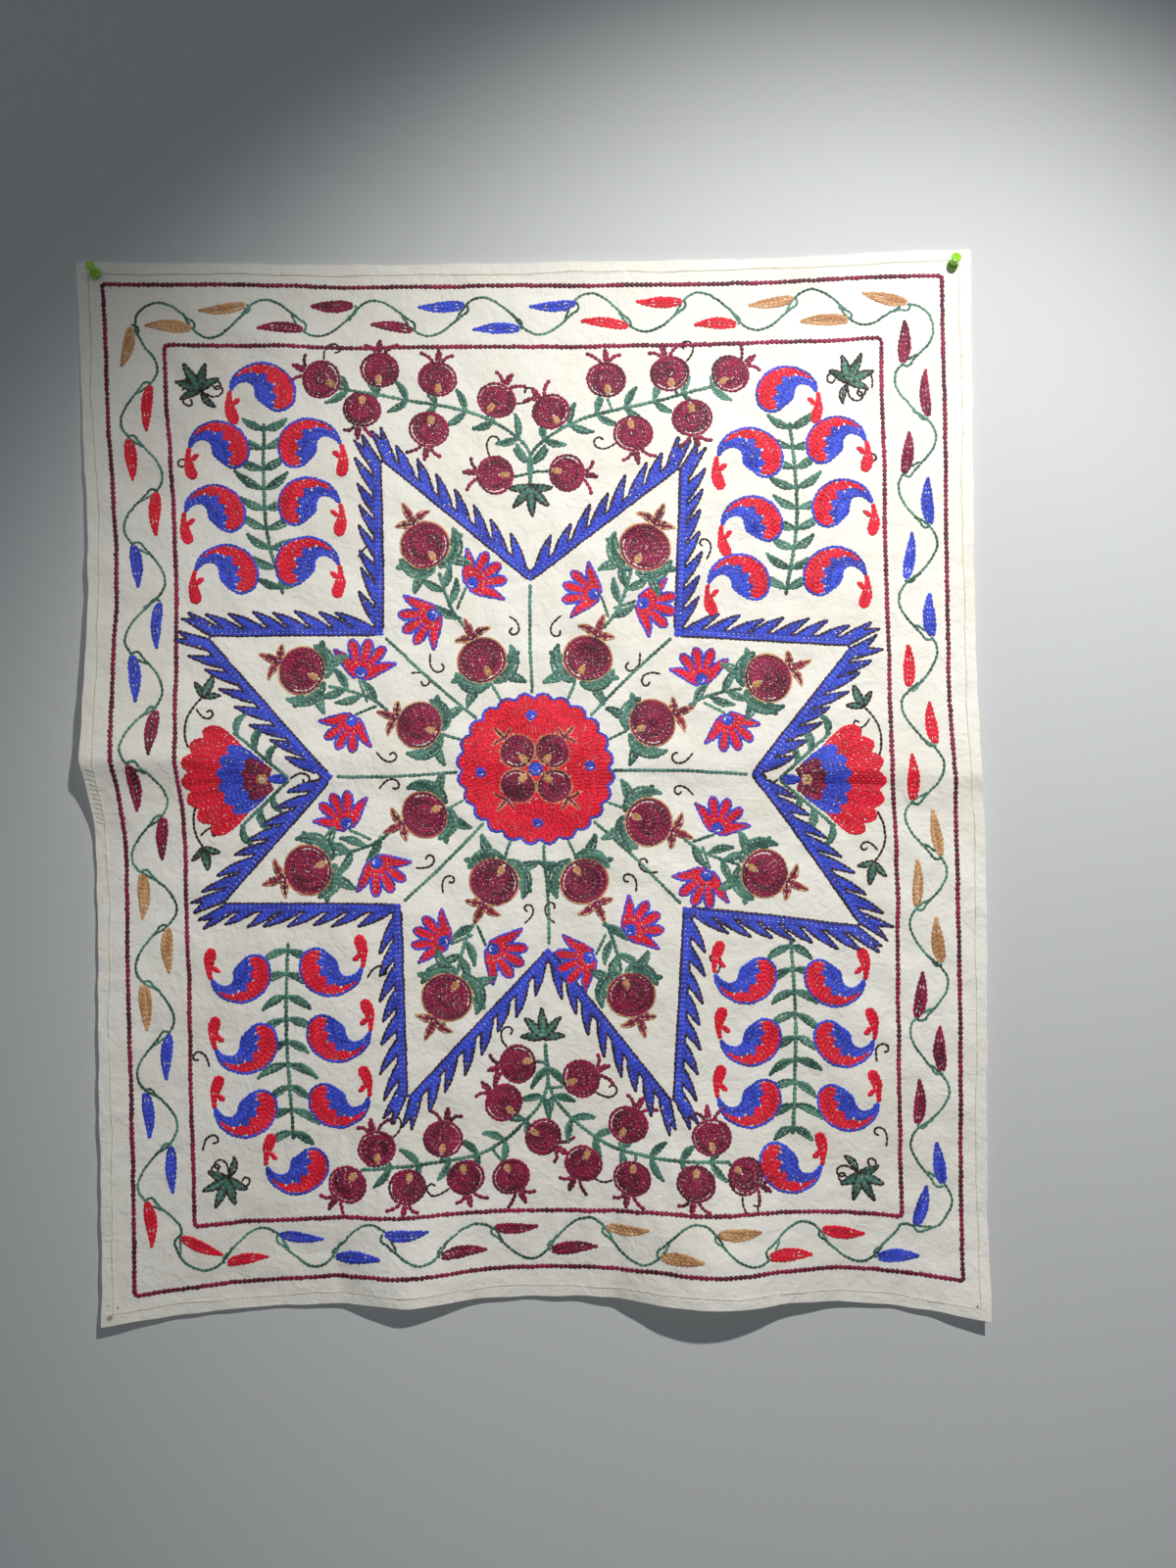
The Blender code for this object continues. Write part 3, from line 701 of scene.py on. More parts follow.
def resampled(path: Array, step: float, closed: bool = False) -> Array:
    """Return a path with evenly spaced places about step apart."""
    if closed:
        path = np.vstack([path, path[:1]])
    along = measured(path)
    if along[-1] < step * 0.5:
        return path[:1]
    count = max(2, int(round(along[-1] / step)) + 1)
    at = np.linspace(0, along[-1], count)
    even = np.stack([np.interp(at, along, path[:, k]) for k in range(2)], axis=1)
    return even[:-1] if closed else even


def inside(places: Array, outline: Array) -> Array:
    """Return which places lie inside a closed outline."""
    x, y = places[:, 0:1], places[:, 1:2]
    x1, y1 = outline[:, 0], outline[:, 1]
    x2, y2 = np.roll(x1, -1), np.roll(y1, -1)
    spans = (y1 > y) != (y2 > y)
    with np.errstate(divide="ignore", invalid="ignore"):
        cross = (x2 - x1) * (y - y1) / (y2 - y1) + x1
    return (np.sum(spans & (x < cross), axis=1) % 2).astype(bool)


def cut_rows(row: Row, outlines: Sequence[Array], shortest: float = 2.2 * MM) -> list[Row]:
    """Cut a row where it crosses any of the outlines.

    Args:
        row: the row to cut.
        outlines: closed outlines that cover the cloth already.
        shortest: pieces shorter than this are dropped.

    Returns:
        What is left of the row, in one or more pieces.
    """
    places = row.places
    low, high = places.min(axis=0), places.max(axis=0)
    near = [o for o in outlines if (o.min(axis=0) < high).all() and (o.max(axis=0) > low).all()]
    if not near:
        return [row]
    fine = resampled(places, 0.8 * MM, row.closed)
    hidden = np.zeros(len(fine), bool)
    for outline in near:
        hidden |= inside(fine, outline)
    if not hidden.any():
        return [row]
    if hidden.all():
        return []
    if row.closed:
        first = int(np.argmax(hidden))
        fine, hidden = np.roll(fine, -first, axis=0), np.roll(hidden, -first)
    edges = np.flatnonzero(np.diff(np.concatenate([[1], hidden.astype(int), [1]])))
    runs = [fine[a:b] for a, b in zip(edges[::2], edges[1::2]) if b - a > 1]
    return [Row(run, row.thread, row.girth) for run in runs if measured(run)[-1] > shortest]


class Profile(Enum):
    """How a blade's half width changes from its root (0) to its tip (1)."""

    LEAF = ((0.0, 0.15, 0.38, 0.62, 0.84, 1.0), (0.18, 0.62, 1.0, 0.86, 0.44, 0.04))
    ALMOND = ((0.0, 0.10, 0.30, 0.55, 0.80, 0.93, 1.0), (0.35, 0.78, 1.0, 0.92, 0.55, 0.22, 0.04))
    FLAME = ((0.0, 0.25, 0.50, 0.75, 1.0), (1.0, 0.86, 0.66, 0.40, 0.04))
    PETAL = ((0.0, 0.20, 0.45, 0.70, 0.88, 1.0), (0.42, 0.62, 0.88, 1.0, 0.80, 0.25))
    HORN = ((0.0, 0.20, 0.50, 0.75, 1.0), (0.85, 1.0, 0.80, 0.50, 0.10))
    COMMA = ((0.0, 0.03, 0.10, 0.22, 0.36, 0.52, 0.66, 0.82, 1.0),
             (0.20, 0.52, 0.84, 1.0, 0.96, 0.72, 0.44, 0.24, 0.06))
    BAND = ((0.0, 1.0), (1.0, 1.0))
    HOOK = ((0.0, 0.30, 0.55, 0.80, 0.95, 1.0), (0.30, 0.45, 0.85, 1.0, 0.85, 0.50))

    def read(self, s: Array) -> Array:
        """Return the half width's share of its largest at each place."""
        return np.interp(s, *self.value)


@dataclass(frozen=True)
class Blade:
    """A shape along a bent centre line: a leaf, petal, sepal, tooth or tail."""

    root: tuple[float, float]
    turn: float
    length: float
    width: float
    bend: float = 0.0
    profile: Profile = Profile.LEAF
    curl: float = 1.0
    steps: int = 28

    def along(self) -> Array:
        """Return the stations from root to tip."""
        return np.linspace(0, 1, self.steps + 1)

    def spine(self) -> tuple[Array, Array]:
        """Return the centre line's places and the directions square to it."""
        s = self.along()
        turn = np.radians(self.turn + self.bend * s ** self.curl)
        step = np.stack([np.cos(turn), np.sin(turn)], axis=1) * (self.length / self.steps)
        middle = (step[1:] + step[:-1]) / 2
        places = np.array(self.root) + np.vstack([[0, 0], np.cumsum(middle, axis=0)])
        return places, np.stack([-np.sin(turn), np.cos(turn)], axis=1)

    def tip(self) -> tuple[float, float]:
        """Return the far end of the centre line."""
        x, y = self.spine()[0][-1]
        return float(x), float(y)

    def lane(self, share: float, inset: float = 0.0) -> Array:
        """Return the line at a share of the half width to the left of the centre line."""
        places, left = self.spine()
        half = np.maximum(self.profile.read(self.along()) * self.width / 2 - inset, 0.0)
        return places + left * (share * half)[:, None]

    def outline(self, inset: float = 0.0) -> Array:
        """Return the closed outline."""
        return np.vstack([self.lane(1.0, inset), self.lane(-1.0, inset)[::-1]])

    def rim(self, thread: Thread, pitch: float = ROW_PITCH, girth: float = 1.0) -> Row:
        """Return the row that edges the blade, round its tip."""
        return Row(self.outline(pitch * 0.45), thread, girth, closed=self.profile is Profile.COMMA)

    def fill(self, thread: Thread | Callable[[Array, Array], list[Thread]], inset: float = 0.0,
             pitch: float = ROW_PITCH, girth: float = 1.0) -> list[Row]:
        """Return rows side by side from root to tip.

        Args:
            thread: the thread, or a function that picks one at each station of a lane.
            inset: room left for a rim.
            pitch: distance between rows.
            girth: how fat the stitches are.

        Returns:
            The rows.
        """
        s = self.along()
        half = self.profile.read(s) * self.width / 2 - inset
        places, left = self.spine()
        side = int(max(float(half.max()), 0.0) / pitch)
        rows = []
        for k in range(-side, side + 1):
            off = k * pitch
            keep = half - abs(off) > (0.10 if k == 0 else 0.02) * pitch
            lane = places + left * off
            share = off / np.maximum(half, pitch * 0.2)
            picks = None if isinstance(thread, Thread) else thread(share, s)
            start = 0
            for i in range(1, len(s) + 1):
                same = i < len(s) and keep[i] == keep[start] and (picks is None or picks[i] is picks[start])
                if same:
                    continue
                if keep[start] and i - start > 1:
                    stop = min(i + 1, len(s)) if i < len(s) and keep[i] else i
                    rows.append(Row(lane[start:stop], picks[start] if picks is not None else thread, girth))
                start = i
        return rows


@dataclass(frozen=True)
class Disc:
    """A round shape, which may be squashed and have lobes."""

    centre: tuple[float, float]
    radius: float
    squash: float = 1.0
    turn: float = 0.0
    lobes: int = 0
    lobe_depth: float = 0.0
    steps: int = 48

    def reach(self, angle: Array) -> Array:
        """Return the shape's places at each angle, about its own middle."""
        r = self.radius * np.ones(np.shape(angle))
        if self.lobes:
            r = self.radius * (1 - self.lobe_depth * (1 - np.abs(np.sin(angle * self.lobes / 2))) ** 1.4)
        x, y = r * np.cos(angle), r * np.sin(angle) * self.squash
        a = math.radians(self.turn)
        return np.stack([x * math.cos(a) - y * math.sin(a), x * math.sin(a) + y * math.cos(a)], axis=-1)

    def outline(self, inset: float = 0.0) -> Array:
        """Return the closed outline."""
        angle = np.linspace(0, math.tau, self.steps + 1)[:-1]
        return np.array(self.centre) + self.reach(angle) * (1 - inset / self.radius)

    def rim(self, thread: Thread, pitch: float = ROW_PITCH, girth: float = 1.0) -> Row:
        """Return the row that edges the shape."""
        return Row(self.outline(pitch * 0.45), thread, girth, closed=True)

    def spiral(self, thread: Thread, inset: float = 0.0, pitch: float = ROW_PITCH,
               start: float = 0.0, girth: float = 1.0) -> list[Row]:
        """Return a ring, and one row that winds in from it to the middle."""
        edge = Row(self.outline(inset + pitch * 0.45), thread, girth, closed=True)
        outer = self.radius - inset - pitch * 0.95
        small = self.squash if self.squash < 1 else 1.0
        turns = (outer * (1 + small) / 2 - pitch * 0.3) / pitch
        if turns < 0.4:
            return [edge]
        count = max(8, int(turns * 26))
        t = np.linspace(0, 1, count)
        angle = math.radians(start) + t * turns * math.tau
        share = (outer - t * (outer - pitch * 0.4)) / self.radius
        return [edge, Row(np.array(self.centre) + self.reach(angle) * share[:, None], thread, girth)]

    def rings(self, thread: Thread, inset: float = 0.0, pitch: float = ROW_PITCH,
              girth: float = 1.0) -> list[Row]:
        """Return rows one inside another."""
        count = max(1, int(round((self.radius - inset) / pitch)))
        rows = []
        for k in range(count):
            back = inset + (self.radius - inset) * (k + 0.5) / count
            rows.append(Row(self.outline(back), thread, girth, closed=True))
        return rows


def curl_path(root: tuple[float, float], turn: float, length: float, wind: float, tight: float = 2.2,
              steps: int = 40) -> Array:
    """Return a tendril's line, which winds tighter towards its end.

    Args:
        root: where it leaves.
        turn: the direction in which it leaves, in degrees.
        length: its length.
        wind: how far it has turned at its end, in degrees; below 0 it turns clockwise.
        tight: how late the winding comes.
        steps: the number of steps.

    Returns:
        The places along it.
    """
    s = np.linspace(0, 1, steps + 1)
    a = np.radians(turn + wind * s ** tight)
    step = np.stack([np.cos(a), np.sin(a)], axis=1) * (length / steps)
    return np.array(root) + np.vstack([[0, 0], np.cumsum((step[1:] + step[:-1]) / 2, axis=0)])


def smooth_line(stops: Sequence[tuple[float, float]], steps: int = 12) -> Array:
    """Return a smooth line through a few places."""
    p = np.array([stops[0], *stops, stops[-1]], float)
    t = np.linspace(0, 1, steps, endpoint=False)[:, None]
    parts = []
    for k in range(1, len(p) - 2):
        a, b, c, d = p[k - 1:k + 3]
        parts.append(0.5 * (2 * b + (c - a) * t + (2 * a - 5 * b + 4 * c - d) * t ** 2
                            + (3 * b - a - 3 * c + d) * t ** 3))
    return np.vstack([*parts, p[-1:]])


@dataclass(frozen=True)
class Spot:
    """Where a motif goes on the cloth: its middle, the way it points, and its size against the usual one."""

    at: tuple[float, float]
    turn: float = 90.0
    size: float = 1.0
    flip: bool = False

    def lay(self, places: Array) -> Array:
        """Return places drawn with the motif pointing up, moved to where it goes."""
        a = math.radians(self.turn - 90)
        p = places * self.size
        if self.flip:
            p = p * (-1, 1)
        x = p[:, 0] * math.cos(a) - p[:, 1] * math.sin(a)
        y = p[:, 0] * math.sin(a) + p[:, 1] * math.cos(a)
        return np.stack([x, y], axis=1) + np.array(self.at)


class Sprig:
    """Rows of one motif and the outlines that they cover, drawn pointing up about (0, 0)."""

    def __init__(self) -> None:
        """Start an empty motif."""
        self.rows: list[Row] = []
        self.covers: list[Array] = []

    def sew(self, rows: Iterable[Row], covers: Iterable[Array] = ()) -> None:
        """Add rows, cut where the motif is covered already, and then their own covers."""
        for row in rows:
            self.rows.extend(cut_rows(row, self.covers))
        self.covers.extend(covers)

    def blade(self, blade: Blade, fill: Thread, rim: Thread | None = None, pitch: float = ROW_PITCH) -> None:
        """Add a filled blade, edged in another thread where one is given."""
        edge = blade.rim(rim or fill, pitch, 0.75 if rim else 1.0)
        self.sew([edge, *blade.fill(fill, pitch * 0.8, pitch)], [blade.outline(pitch * 0.3)])

    def union(self, blades: Sequence[Blade], fill: Thread, rim: Thread, pitch: float = ROW_PITCH) -> None:
        """Add blades that join into one shape, edged only round the whole by finer stitches."""
        cores = [b.outline(pitch * 0.6) for b in blades]
        rows: list[Row] = []
        for k, blade in enumerate(blades):
            others = cores[:k] + cores[k + 1:]
            rows.extend(cut_rows(blade.rim(rim, pitch * 0.6, 0.92), others))
            for lane in blade.fill(fill, pitch * 0.35, pitch * 0.92):
                rows.extend(cut_rows(lane, cores[:k]))
        self.sew(rows, [b.outline(pitch * 0.3) for b in blades])


class Embroidery:
    """All rows on the panel, sewn from the top layer down so that nothing is stitched over."""

    def __init__(self) -> None:
        """Start with bare cloth."""
        self.rows: dict[str, list[Row]] = {}
        self.covers: list[Array] = []
        self.boxes: list[Array] = []
        self.hand = np.random.default_rng(7)

    def sew(self, zone: str, rows: Iterable[Row], covers: Iterable[Array] = ()) -> None:
        """Add rows to a zone, cut where the cloth is covered already."""
        kept = self.rows.setdefault(zone, [])
        rows = list(rows)
        near: list[Array] = []
        if rows and self.boxes:
            low = np.min([row.places.min(axis=0) for row in rows], axis=0)
            high = np.max([row.places.max(axis=0) for row in rows], axis=0)
            boxes = np.array(self.boxes)
            hits = (boxes[:, 0] < high).all(axis=1) & (boxes[:, 1] > low).all(axis=1)
            near = [self.covers[k] for k in np.flatnonzero(hits)]
        for row in rows:
            kept.extend(cut_rows(row, near))
        for cover in covers:
            self.covers.append(cover)
            self.boxes.append(np.array([cover.min(axis=0), cover.max(axis=0)]))

    def place(self, zone: str, sprig: Sprig, spot: Spot) -> None:
        """Lay a motif on the cloth."""
        laid = [Row(spot.lay(r.places), r.thread, r.girth, r.closed) for r in sprig.rows]
        self.sew(zone, laid, [spot.lay(c) for c in sprig.covers])

    def vary(self, value: float, share: float) -> float:
        """Return a value as a hand would repeat it."""
        return value * (1 + share * float(self.hand.uniform(-1, 1)))

    def nudge(self, reach: float) -> float:
        """Return a small offset, as a hand would stray."""
        return reach * float(self.hand.uniform(-1, 1))


# ---------------------------------------------------------------------------------------------
# Motifs, each drawn pointing up about its own middle
# ---------------------------------------------------------------------------------------------

@dataclass(frozen=True)
class GiltFruit:
    """A pomegranate edged in gold, with its crown and the green leaves that cup it."""

    radius: float = 0.0240
    calyx: bool = True
    squash: float = 0.93
    spot_radius: float = 0.0062
    spot_squash: float = 0.58
    rim_pitch: float = ROW_PITCH * 0.6
    rim_girth: float = 0.70
    leaf_lengths: tuple[tuple[int, float], ...] = ((1, 0.046), (-1, 0.040))

    def crown(self) -> list[Blade]:
        """Return the three sepals and the neck that they stand on."""
        r, top = self.radius, 0.92 * self.radius
        return [Blade((0.001, top), 98, 0.98 * r, 0.34 * r, -14),
                Blade((0, top), 150, 0.80 * r, 0.33 * r, 28),
                Blade((0, top), 42, 0.92 * r, 0.33 * r, -66),
                Blade((0, 0.7 * r), 90, 0.52 * r, 0.34 * r, 0, Profile.BAND)]

    def leaves(self, side: int, length: float) -> list[Blade]:
        """Return one side's cupping leaf and its two barbs."""
        r, turn = self.radius, 0 if side > 0 else 180
        return [Blade((0.002 * side, -r), turn - 4 * side, length, 0.62 * r, 98 * side),
                Blade((0.45 * side * r, -0.95 * r), turn - 12 * side, 1.05 * r, 0.40 * r, -48 * side),
                Blade((0.95 * side * r, -0.35 * r), turn - 8 * side, 0.55 * r, 0.28 * r, 35 * side)]

    def draw(self) -> Sprig:
        """Return the motif."""
        motif = Sprig()
        spot = Disc((0.001, -0.52 * self.radius), self.spot_radius, squash=self.spot_squash, turn=96)
        motif.sew(spot.rings(Thread.GOLD), [spot.outline(ROW_PITCH * 0.4)])
        shapes = [Disc((0, 0), self.radius, squash=self.squash), *self.crown()]
        cores = [shape.outline(ROW_PITCH * 0.55) for shape in shapes]
        rows: list[Row] = []
        for k, shape in enumerate(shapes):
            rim = shape.rim(Thread.GOLD, self.rim_pitch, self.rim_girth)
            rows += cut_rows(rim, cores[:k] + cores[k + 1:])
            if k == 0:
                fills = shape.spiral(Thread.MAROON, ROW_PITCH * 0.5)
            else:
                fills = shape.fill(Thread.MAROON, ROW_PITCH * 0.4)
            for fill in fills:
                rows += cut_rows(fill, cores[:k])
        motif.sew(rows, [shape.outline(ROW_PITCH * 0.35) for shape in shapes])
        for side, length in self.leaf_lengths if self.calyx else ():
            for blade in self.leaves(side, length):
                motif.blade(blade, Thread.GREEN)
        return motif


@dataclass(frozen=True)
class PlainFruit:
    """A small pomegranate worked in one thread, with thin hooks for its crown."""

    radius: float = 0.0186
    squash: float = 0.92
    twist: float = 0.0
    hook_girth: float = 1.2
    # each hook's direction, length and winding
    hooks: tuple[tuple[float, float, float], ...] = ((132, 0.017, 40), (98, 0.014, -30), (62, 0.015, -75),
                                                     (80, 0.011, 25))

    def draw(self) -> Sprig:
        """Return the motif."""
        motif = Sprig()
        spot = Disc((0.001, -0.50 * self.radius), 0.0058, squash=0.55, turn=92)
        motif.sew(spot.rings(Thread.GOLD), [spot.outline(ROW_PITCH * 0.4)])
        body = Disc((0, 0), self.radius, squash=self.squash)
        motif.sew(body.spiral(Thread.MAROON, start=self.twist), [body.outline()])
        for turn, length, wind in self.hooks:
            root = (0.006 * math.cos(math.radians(turn)), 0.86 * self.radius)
            motif.sew([Row(curl_path(root, turn, length, wind, 1.6), Thread.MAROON, self.hook_girth)])
        return motif


@dataclass(frozen=True)
class Tulip:
    """A red tulip edged in blue, its outer petals curling out."""

    horn: tuple[float, float] = (0.030, 0.0125)
    petal_width: float = 0.0115
    side_petal_width: float = 0.0110
    eye: float = 0.0062

    def draw(self) -> Sprig:
        """Return the motif."""
        motif = Sprig()
        spot = Disc((0, 0.0068), self.eye)
        motif.sew(spot.spiral(Thread.BLUE), [spot.outline(ROW_PITCH * 0.4)])
        petals = [Blade((0, 0.001), 90, 0.018, 0.024, 0, Profile.ALMOND)]
        petals += [Blade((-side * 0.004, 0.006), 90 + side * 48, *self.horn, side * 20, Profile.HORN)
                   for side in (1, -1)]
        petals.append(Blade((0, 0.010), 90, 0.028, self.petal_width, 0, Profile.PETAL))
        petals += [Blade((-side * 0.003, 0.010), 90 + side * 24, 0.027, self.side_petal_width, side * 6,
                         Profile.PETAL) for side in (1, -1)]
        motif.union(petals, Thread.RED, Thread.BLUE)
        return motif


@dataclass(frozen=True)
class Pepper:
    """A curled pepper: red along its back, blue within, with a red flame off its tail."""

    length: float = 0.080
    width: float = 0.041
    zigzags: float = 6.5
    red_ends: float = 0.80

    def threads(self, share: Array, s: Array) -> list[Thread]:
        """Pick red or blue at each station of a row, either side of a zigzag line.

        Args:
            share: how far the row lies to the left, as a share of the half width.
            s: the row's stations, from 0 at the root to 1 at the tip.

        Returns:
            One thread for each station.
        """
        zigzag = 0.02 + 0.42 * (2 * np.abs((s * self.zigzags) % 1 - 0.5) - 0.5) + 0.5 * (s - 0.3)
        red = (share > zigzag) & (s < self.red_ends)
        return [Thread.RED if r else Thread.BLUE for r in red]

    def draw(self) -> Sprig:
        """Return the motif."""
        motif = Sprig()
        body = Blade((0, 0), 108, self.length, self.width, -190, Profile.COMMA, 1.2, 36)
        motif.sew([body.rim(Thread.BLUE), *body.fill(self.threads, ROW_PITCH * 0.8)], [body.outline()])
        x, y = body.tip()
        motif.blade(Blade((x + 0.001, y), -78, 0.033, 0.012, -42, Profile.HOOK), Thread.RED)
        motif.blade(Blade((x - 0.002, y - 0.013), 128, 0.010, 0.006, 20), Thread.RED)
        return motif


@dataclass(frozen=True)
class Lily:
    """A dark green lily of five pointed blades."""

    curled: bool = True
    pitch: float = 2.3 * MM
    # each blade's root across, direction, length, width and bend
    blades: tuple[tuple[float, float, float, float, float, float], ...] = (
        (0, 0, 90, 0.032, 0.0090, 4), (-0.001, 0.001, 118, 0.027, 0.0085, 22),
        (0.001, 0.001, 62, 0.027, 0.0085, -22), (-0.001, 0, 150, 0.022, 0.0075, 46),
        (0.001, 0, 30, 0.022, 0.0075, -46))

    def draw(self) -> Sprig:
        """Return the motif."""
        motif = Sprig()
        blades = [Blade((x, y), turn, length, width, bend) for x, y, turn, length, width, bend in self.blades]
        motif.union(blades, Thread.GREEN, Thread.DARK, self.pitch)
        if self.curled:
            motif.blade(Blade((0, -0.001), 262, 0.021, 0.0080, 50), Thread.GREEN, Thread.DARK, self.pitch)
            for turn, wind in ((158, 330), (24, -340), (292, 300)):
                motif.sew([Row(curl_path((0, 0.002), turn, 0.040, wind), Thread.DARK, 0.72)])
        return motif


@dataclass(frozen=True)
class PetalLayer:
    """One layer of a fan-shaped flower."""

    thread: Thread
    start: float
    stop: float
    count: int
    spread: float

    def draw(self) -> Sprig:
        """Return the layer's petals side by side."""
        layer = Sprig()
        for k in range(self.count):
            a = self.spread * ((2 * k + 1) / self.count - 1)
            far = self.stop * math.cos(math.radians(0.75 * a))
            near = self.start * math.cos(math.radians(0.5 * a))
            root = near * heading(90 - a)
            wide = 2.35 * far * math.radians(self.spread) / self.count
            layer.blade(Blade((root[0], root[1]), 90 - a, far - near, wide, 0, Profile.PETAL), self.thread)
        return layer


@dataclass(frozen=True)
class Carnation:
    """The fan-shaped flower at each side, its apex at (0, 0)."""

    layers: tuple[PetalLayer, ...] = (PetalLayer(Thread.MAROON, 0.020, 0.047, 4, 30.0),
                                      PetalLayer(Thread.BLUE, 0.030, 0.071, 6, 34.0),
                                      PetalLayer(Thread.RED, 0.055, 0.104, 7, 37.0))
    edge: float = 39.0
    # each hooked leaf's distance from the apex, length and width
    hooks: tuple[tuple[float, float, float], ...] = ((0.024, 0.021, 0.007), (0.042, 0.029, 0.0085),
                                                     (0.066, 0.026, 0.0075))

    def draw(self) -> Sprig:
        """Return the motif."""
        motif = Sprig()
        bead = Disc((0, 0.0275), 0.0062)
        motif.sew(bead.rings(Thread.GOLD), [bead.outline(ROW_PITCH * 0.4)])
        motif.blade(Blade((0, 0.003), 90, 0.021, 0.0100, 0, Profile.ALMOND), Thread.BLUE)
        for petals in self.layers:
            layer = petals.draw()
            motif.sew(layer.rows, layer.covers)
        for side in (1, -1):
            edge = self.edge * side
            line = np.array([0.002 * heading(90 - edge), 0.070 * heading(90 - edge * 1.06)])
            motif.sew([Row(line, Thread.GREEN, 1.15)])
            for at, length, width in self.hooks:
                root = at * heading(90 - edge * 1.08)
                hook = Blade((root[0], root[1]), 90 - edge * 1.6, length, width, -105 * side)
                motif.blade(hook, Thread.GREEN)
        return motif


@dataclass(frozen=True)
class Bud:
    """A small closed bud on a dark curling stem."""

    pitch: float = 2.3 * MM

    def draw(self) -> Sprig:
        """Return the motif."""
        motif = Sprig()
        motif.union([Blade((0, 0), 90, 0.024, 0.0085, 14), Blade((0.001, 0), 50, 0.017, 0.0065, -30),
                     Blade((-0.001, 0), 132, 0.017, 0.0065, 30)], Thread.GREEN, Thread.DARK, self.pitch)
        motif.sew([Row(curl_path((0, 0), 250, 0.052, 75, 1.1), Thread.DARK, 0.8),
                   Row(curl_path((0.001, -0.012), 330, 0.032, 320), Thread.DARK, 0.7)])
        return motif


@dataclass(frozen=True)
class Leaf:
    """One green leaf, its root at (0, 0)."""

    length: float
    width: float
    bend: float

    def draw(self) -> Sprig:
        """Return the motif."""
        motif = Sprig()
        motif.blade(Blade((0, 0), 90 - self.bend / 2, self.length, self.width, self.bend), Thread.GREEN)
        return motif


# ---------------------------------------------------------------------------------------------
# The layout of the panel
# ---------------------------------------------------------------------------------------------

@dataclass(frozen=True)
class Border:
    """The two lines and the vine with its coloured leaves between them."""

    outer: tuple[tuple[float, float], ...] = ((-0.396, -0.020), (0.393, -0.024), (0.395, -0.967),
                                              (-0.390, -0.976))
    inner: tuple[tuple[float, float], ...] = ((-0.340, -0.079), (0.335, -0.082), (0.339, -0.915),
                                              (-0.334, -0.918))
    half_u: float = 0.3665
    top: float = -0.051
    foot: float = -0.944
    corner: float = 0.034
    sway: float = 0.0205
    leaf_length: float = 0.043
    leaf_width: float = 0.0112
    groups: str = "t1m3b3r3t3m3b3r3t3m3b3r2t3m3b3r3b3t3m3b3r3t2"

    def threads(self) -> list[Thread]:
        """Return each leaf's thread, clockwise from the top left."""
        names = {"t": Thread.GOLD, "m": Thread.MAROON, "b": Thread.BLUE, "r": Thread.RED}
        return [names[c] for c, n in zip(self.groups[::2], self.groups[1::2]) for _ in range(int(n))]

    def path(self) -> Array:
        """Return the vine's middle line, clockwise from the top left."""
        r, places = self.corner, []
        for cx, cy, start in ((self.half_u - r, self.top - r, 90), (self.half_u - r, self.foot + r, 0),
                              (-self.half_u + r, self.foot + r, -90), (-self.half_u + r, self.top - r, 180)):
            for a in np.linspace(start, start - 90, 10):
                places.append(np.array([cx, cy]) + r * heading(float(a)))
        return resampled(np.array([places[-1], *places]), 1 * MM)

    def sew(self, work: Embroidery) -> None:
        """Sew the border."""
        for corners in (self.outer, self.inner):
            stops = []
            for a, b in zip(corners, corners[1:] + corners[:1]):
                for s in np.linspace(0, 1, 14, endpoint=False):
                    stray = work.nudge(0.0009) if s else 0.0
                    stops.append((a[0] + (b[0] - a[0]) * s + stray, a[1] + (b[1] - a[1]) * s - stray))
            work.sew("lines", [Row(np.array(stops), Thread.MAROON, 1.42, closed=True)])
        self.vine(work)

    def vine(self, work: Embroidery) -> None:
        """Sew the vine and its leaves."""
        line, threads = self.path(), self.threads()
        along = measured(line)
        count = len(threads)
        pitch = along[-1] / count

        def at(s: float, off: float) -> Array:
            """Return a place beside the middle line, to its left where off is above 0."""
            s = s % along[-1]
            k = int(min(np.searchsorted(along, s), len(line) - 2))
            k = max(k, 1)
            step = line[k + 1] - line[k - 1]
            step = step / np.linalg.norm(step)
            return line[k] + np.array([-step[1], step[0]]) * off

        leaves: list[tuple[Blade, Thread]] = []
        stems: list[Row] = []
        for k, thread in enumerate(threads):
            side = 1 if k % 2 else -1
            s0 = (k + 0.2) * pitch + work.nudge(0.002)
            sway = work.vary(self.sway, 0.12)
            arc = []
            for t in np.linspace(0, 1, 16):
                off = side * sway * math.sin(math.pi * min(t, 1.0) ** 0.8) * 1.05 - side * 0.003
                arc.append(at(s0 + t * pitch * 1.12, off))
            hook_s = s0 + pitch * 1.12
            for t in np.linspace(0.15, 1, 8):
                a = math.pi * 0.78 * t
                arc.append(at(hook_s + 0.0048 * math.sin(a), -side * (0.003 + 0.0052 * (1 - math.cos(a)))))
            stems.append(Row(np.array(arc), Thread.GREEN, 0.86))
            root = at(hook_s + 0.001, -side * 0.0118)
            ahead = at(hook_s - 0.020, -side * 0.0106)
            turn = math.degrees(math.atan2(ahead[1] - root[1], ahead[0] - root[0])) + work.nudge(5)
            bend = side * work.vary(16, 0.5)
            leaves.append((Blade((root[0], root[1]), turn - bend / 2, work.vary(self.leaf_length, 0.07),
                                 work.vary(self.leaf_width, 0.10), bend, Profile.ALMOND), thread))
        for blade, thread in leaves:
            rows = [blade.rim(thread), *blade.fill(thread, ROW_PITCH * 0.8)]
            work.sew("border leaves", rows, [blade.outline()])
        work.sew("vine", stems)


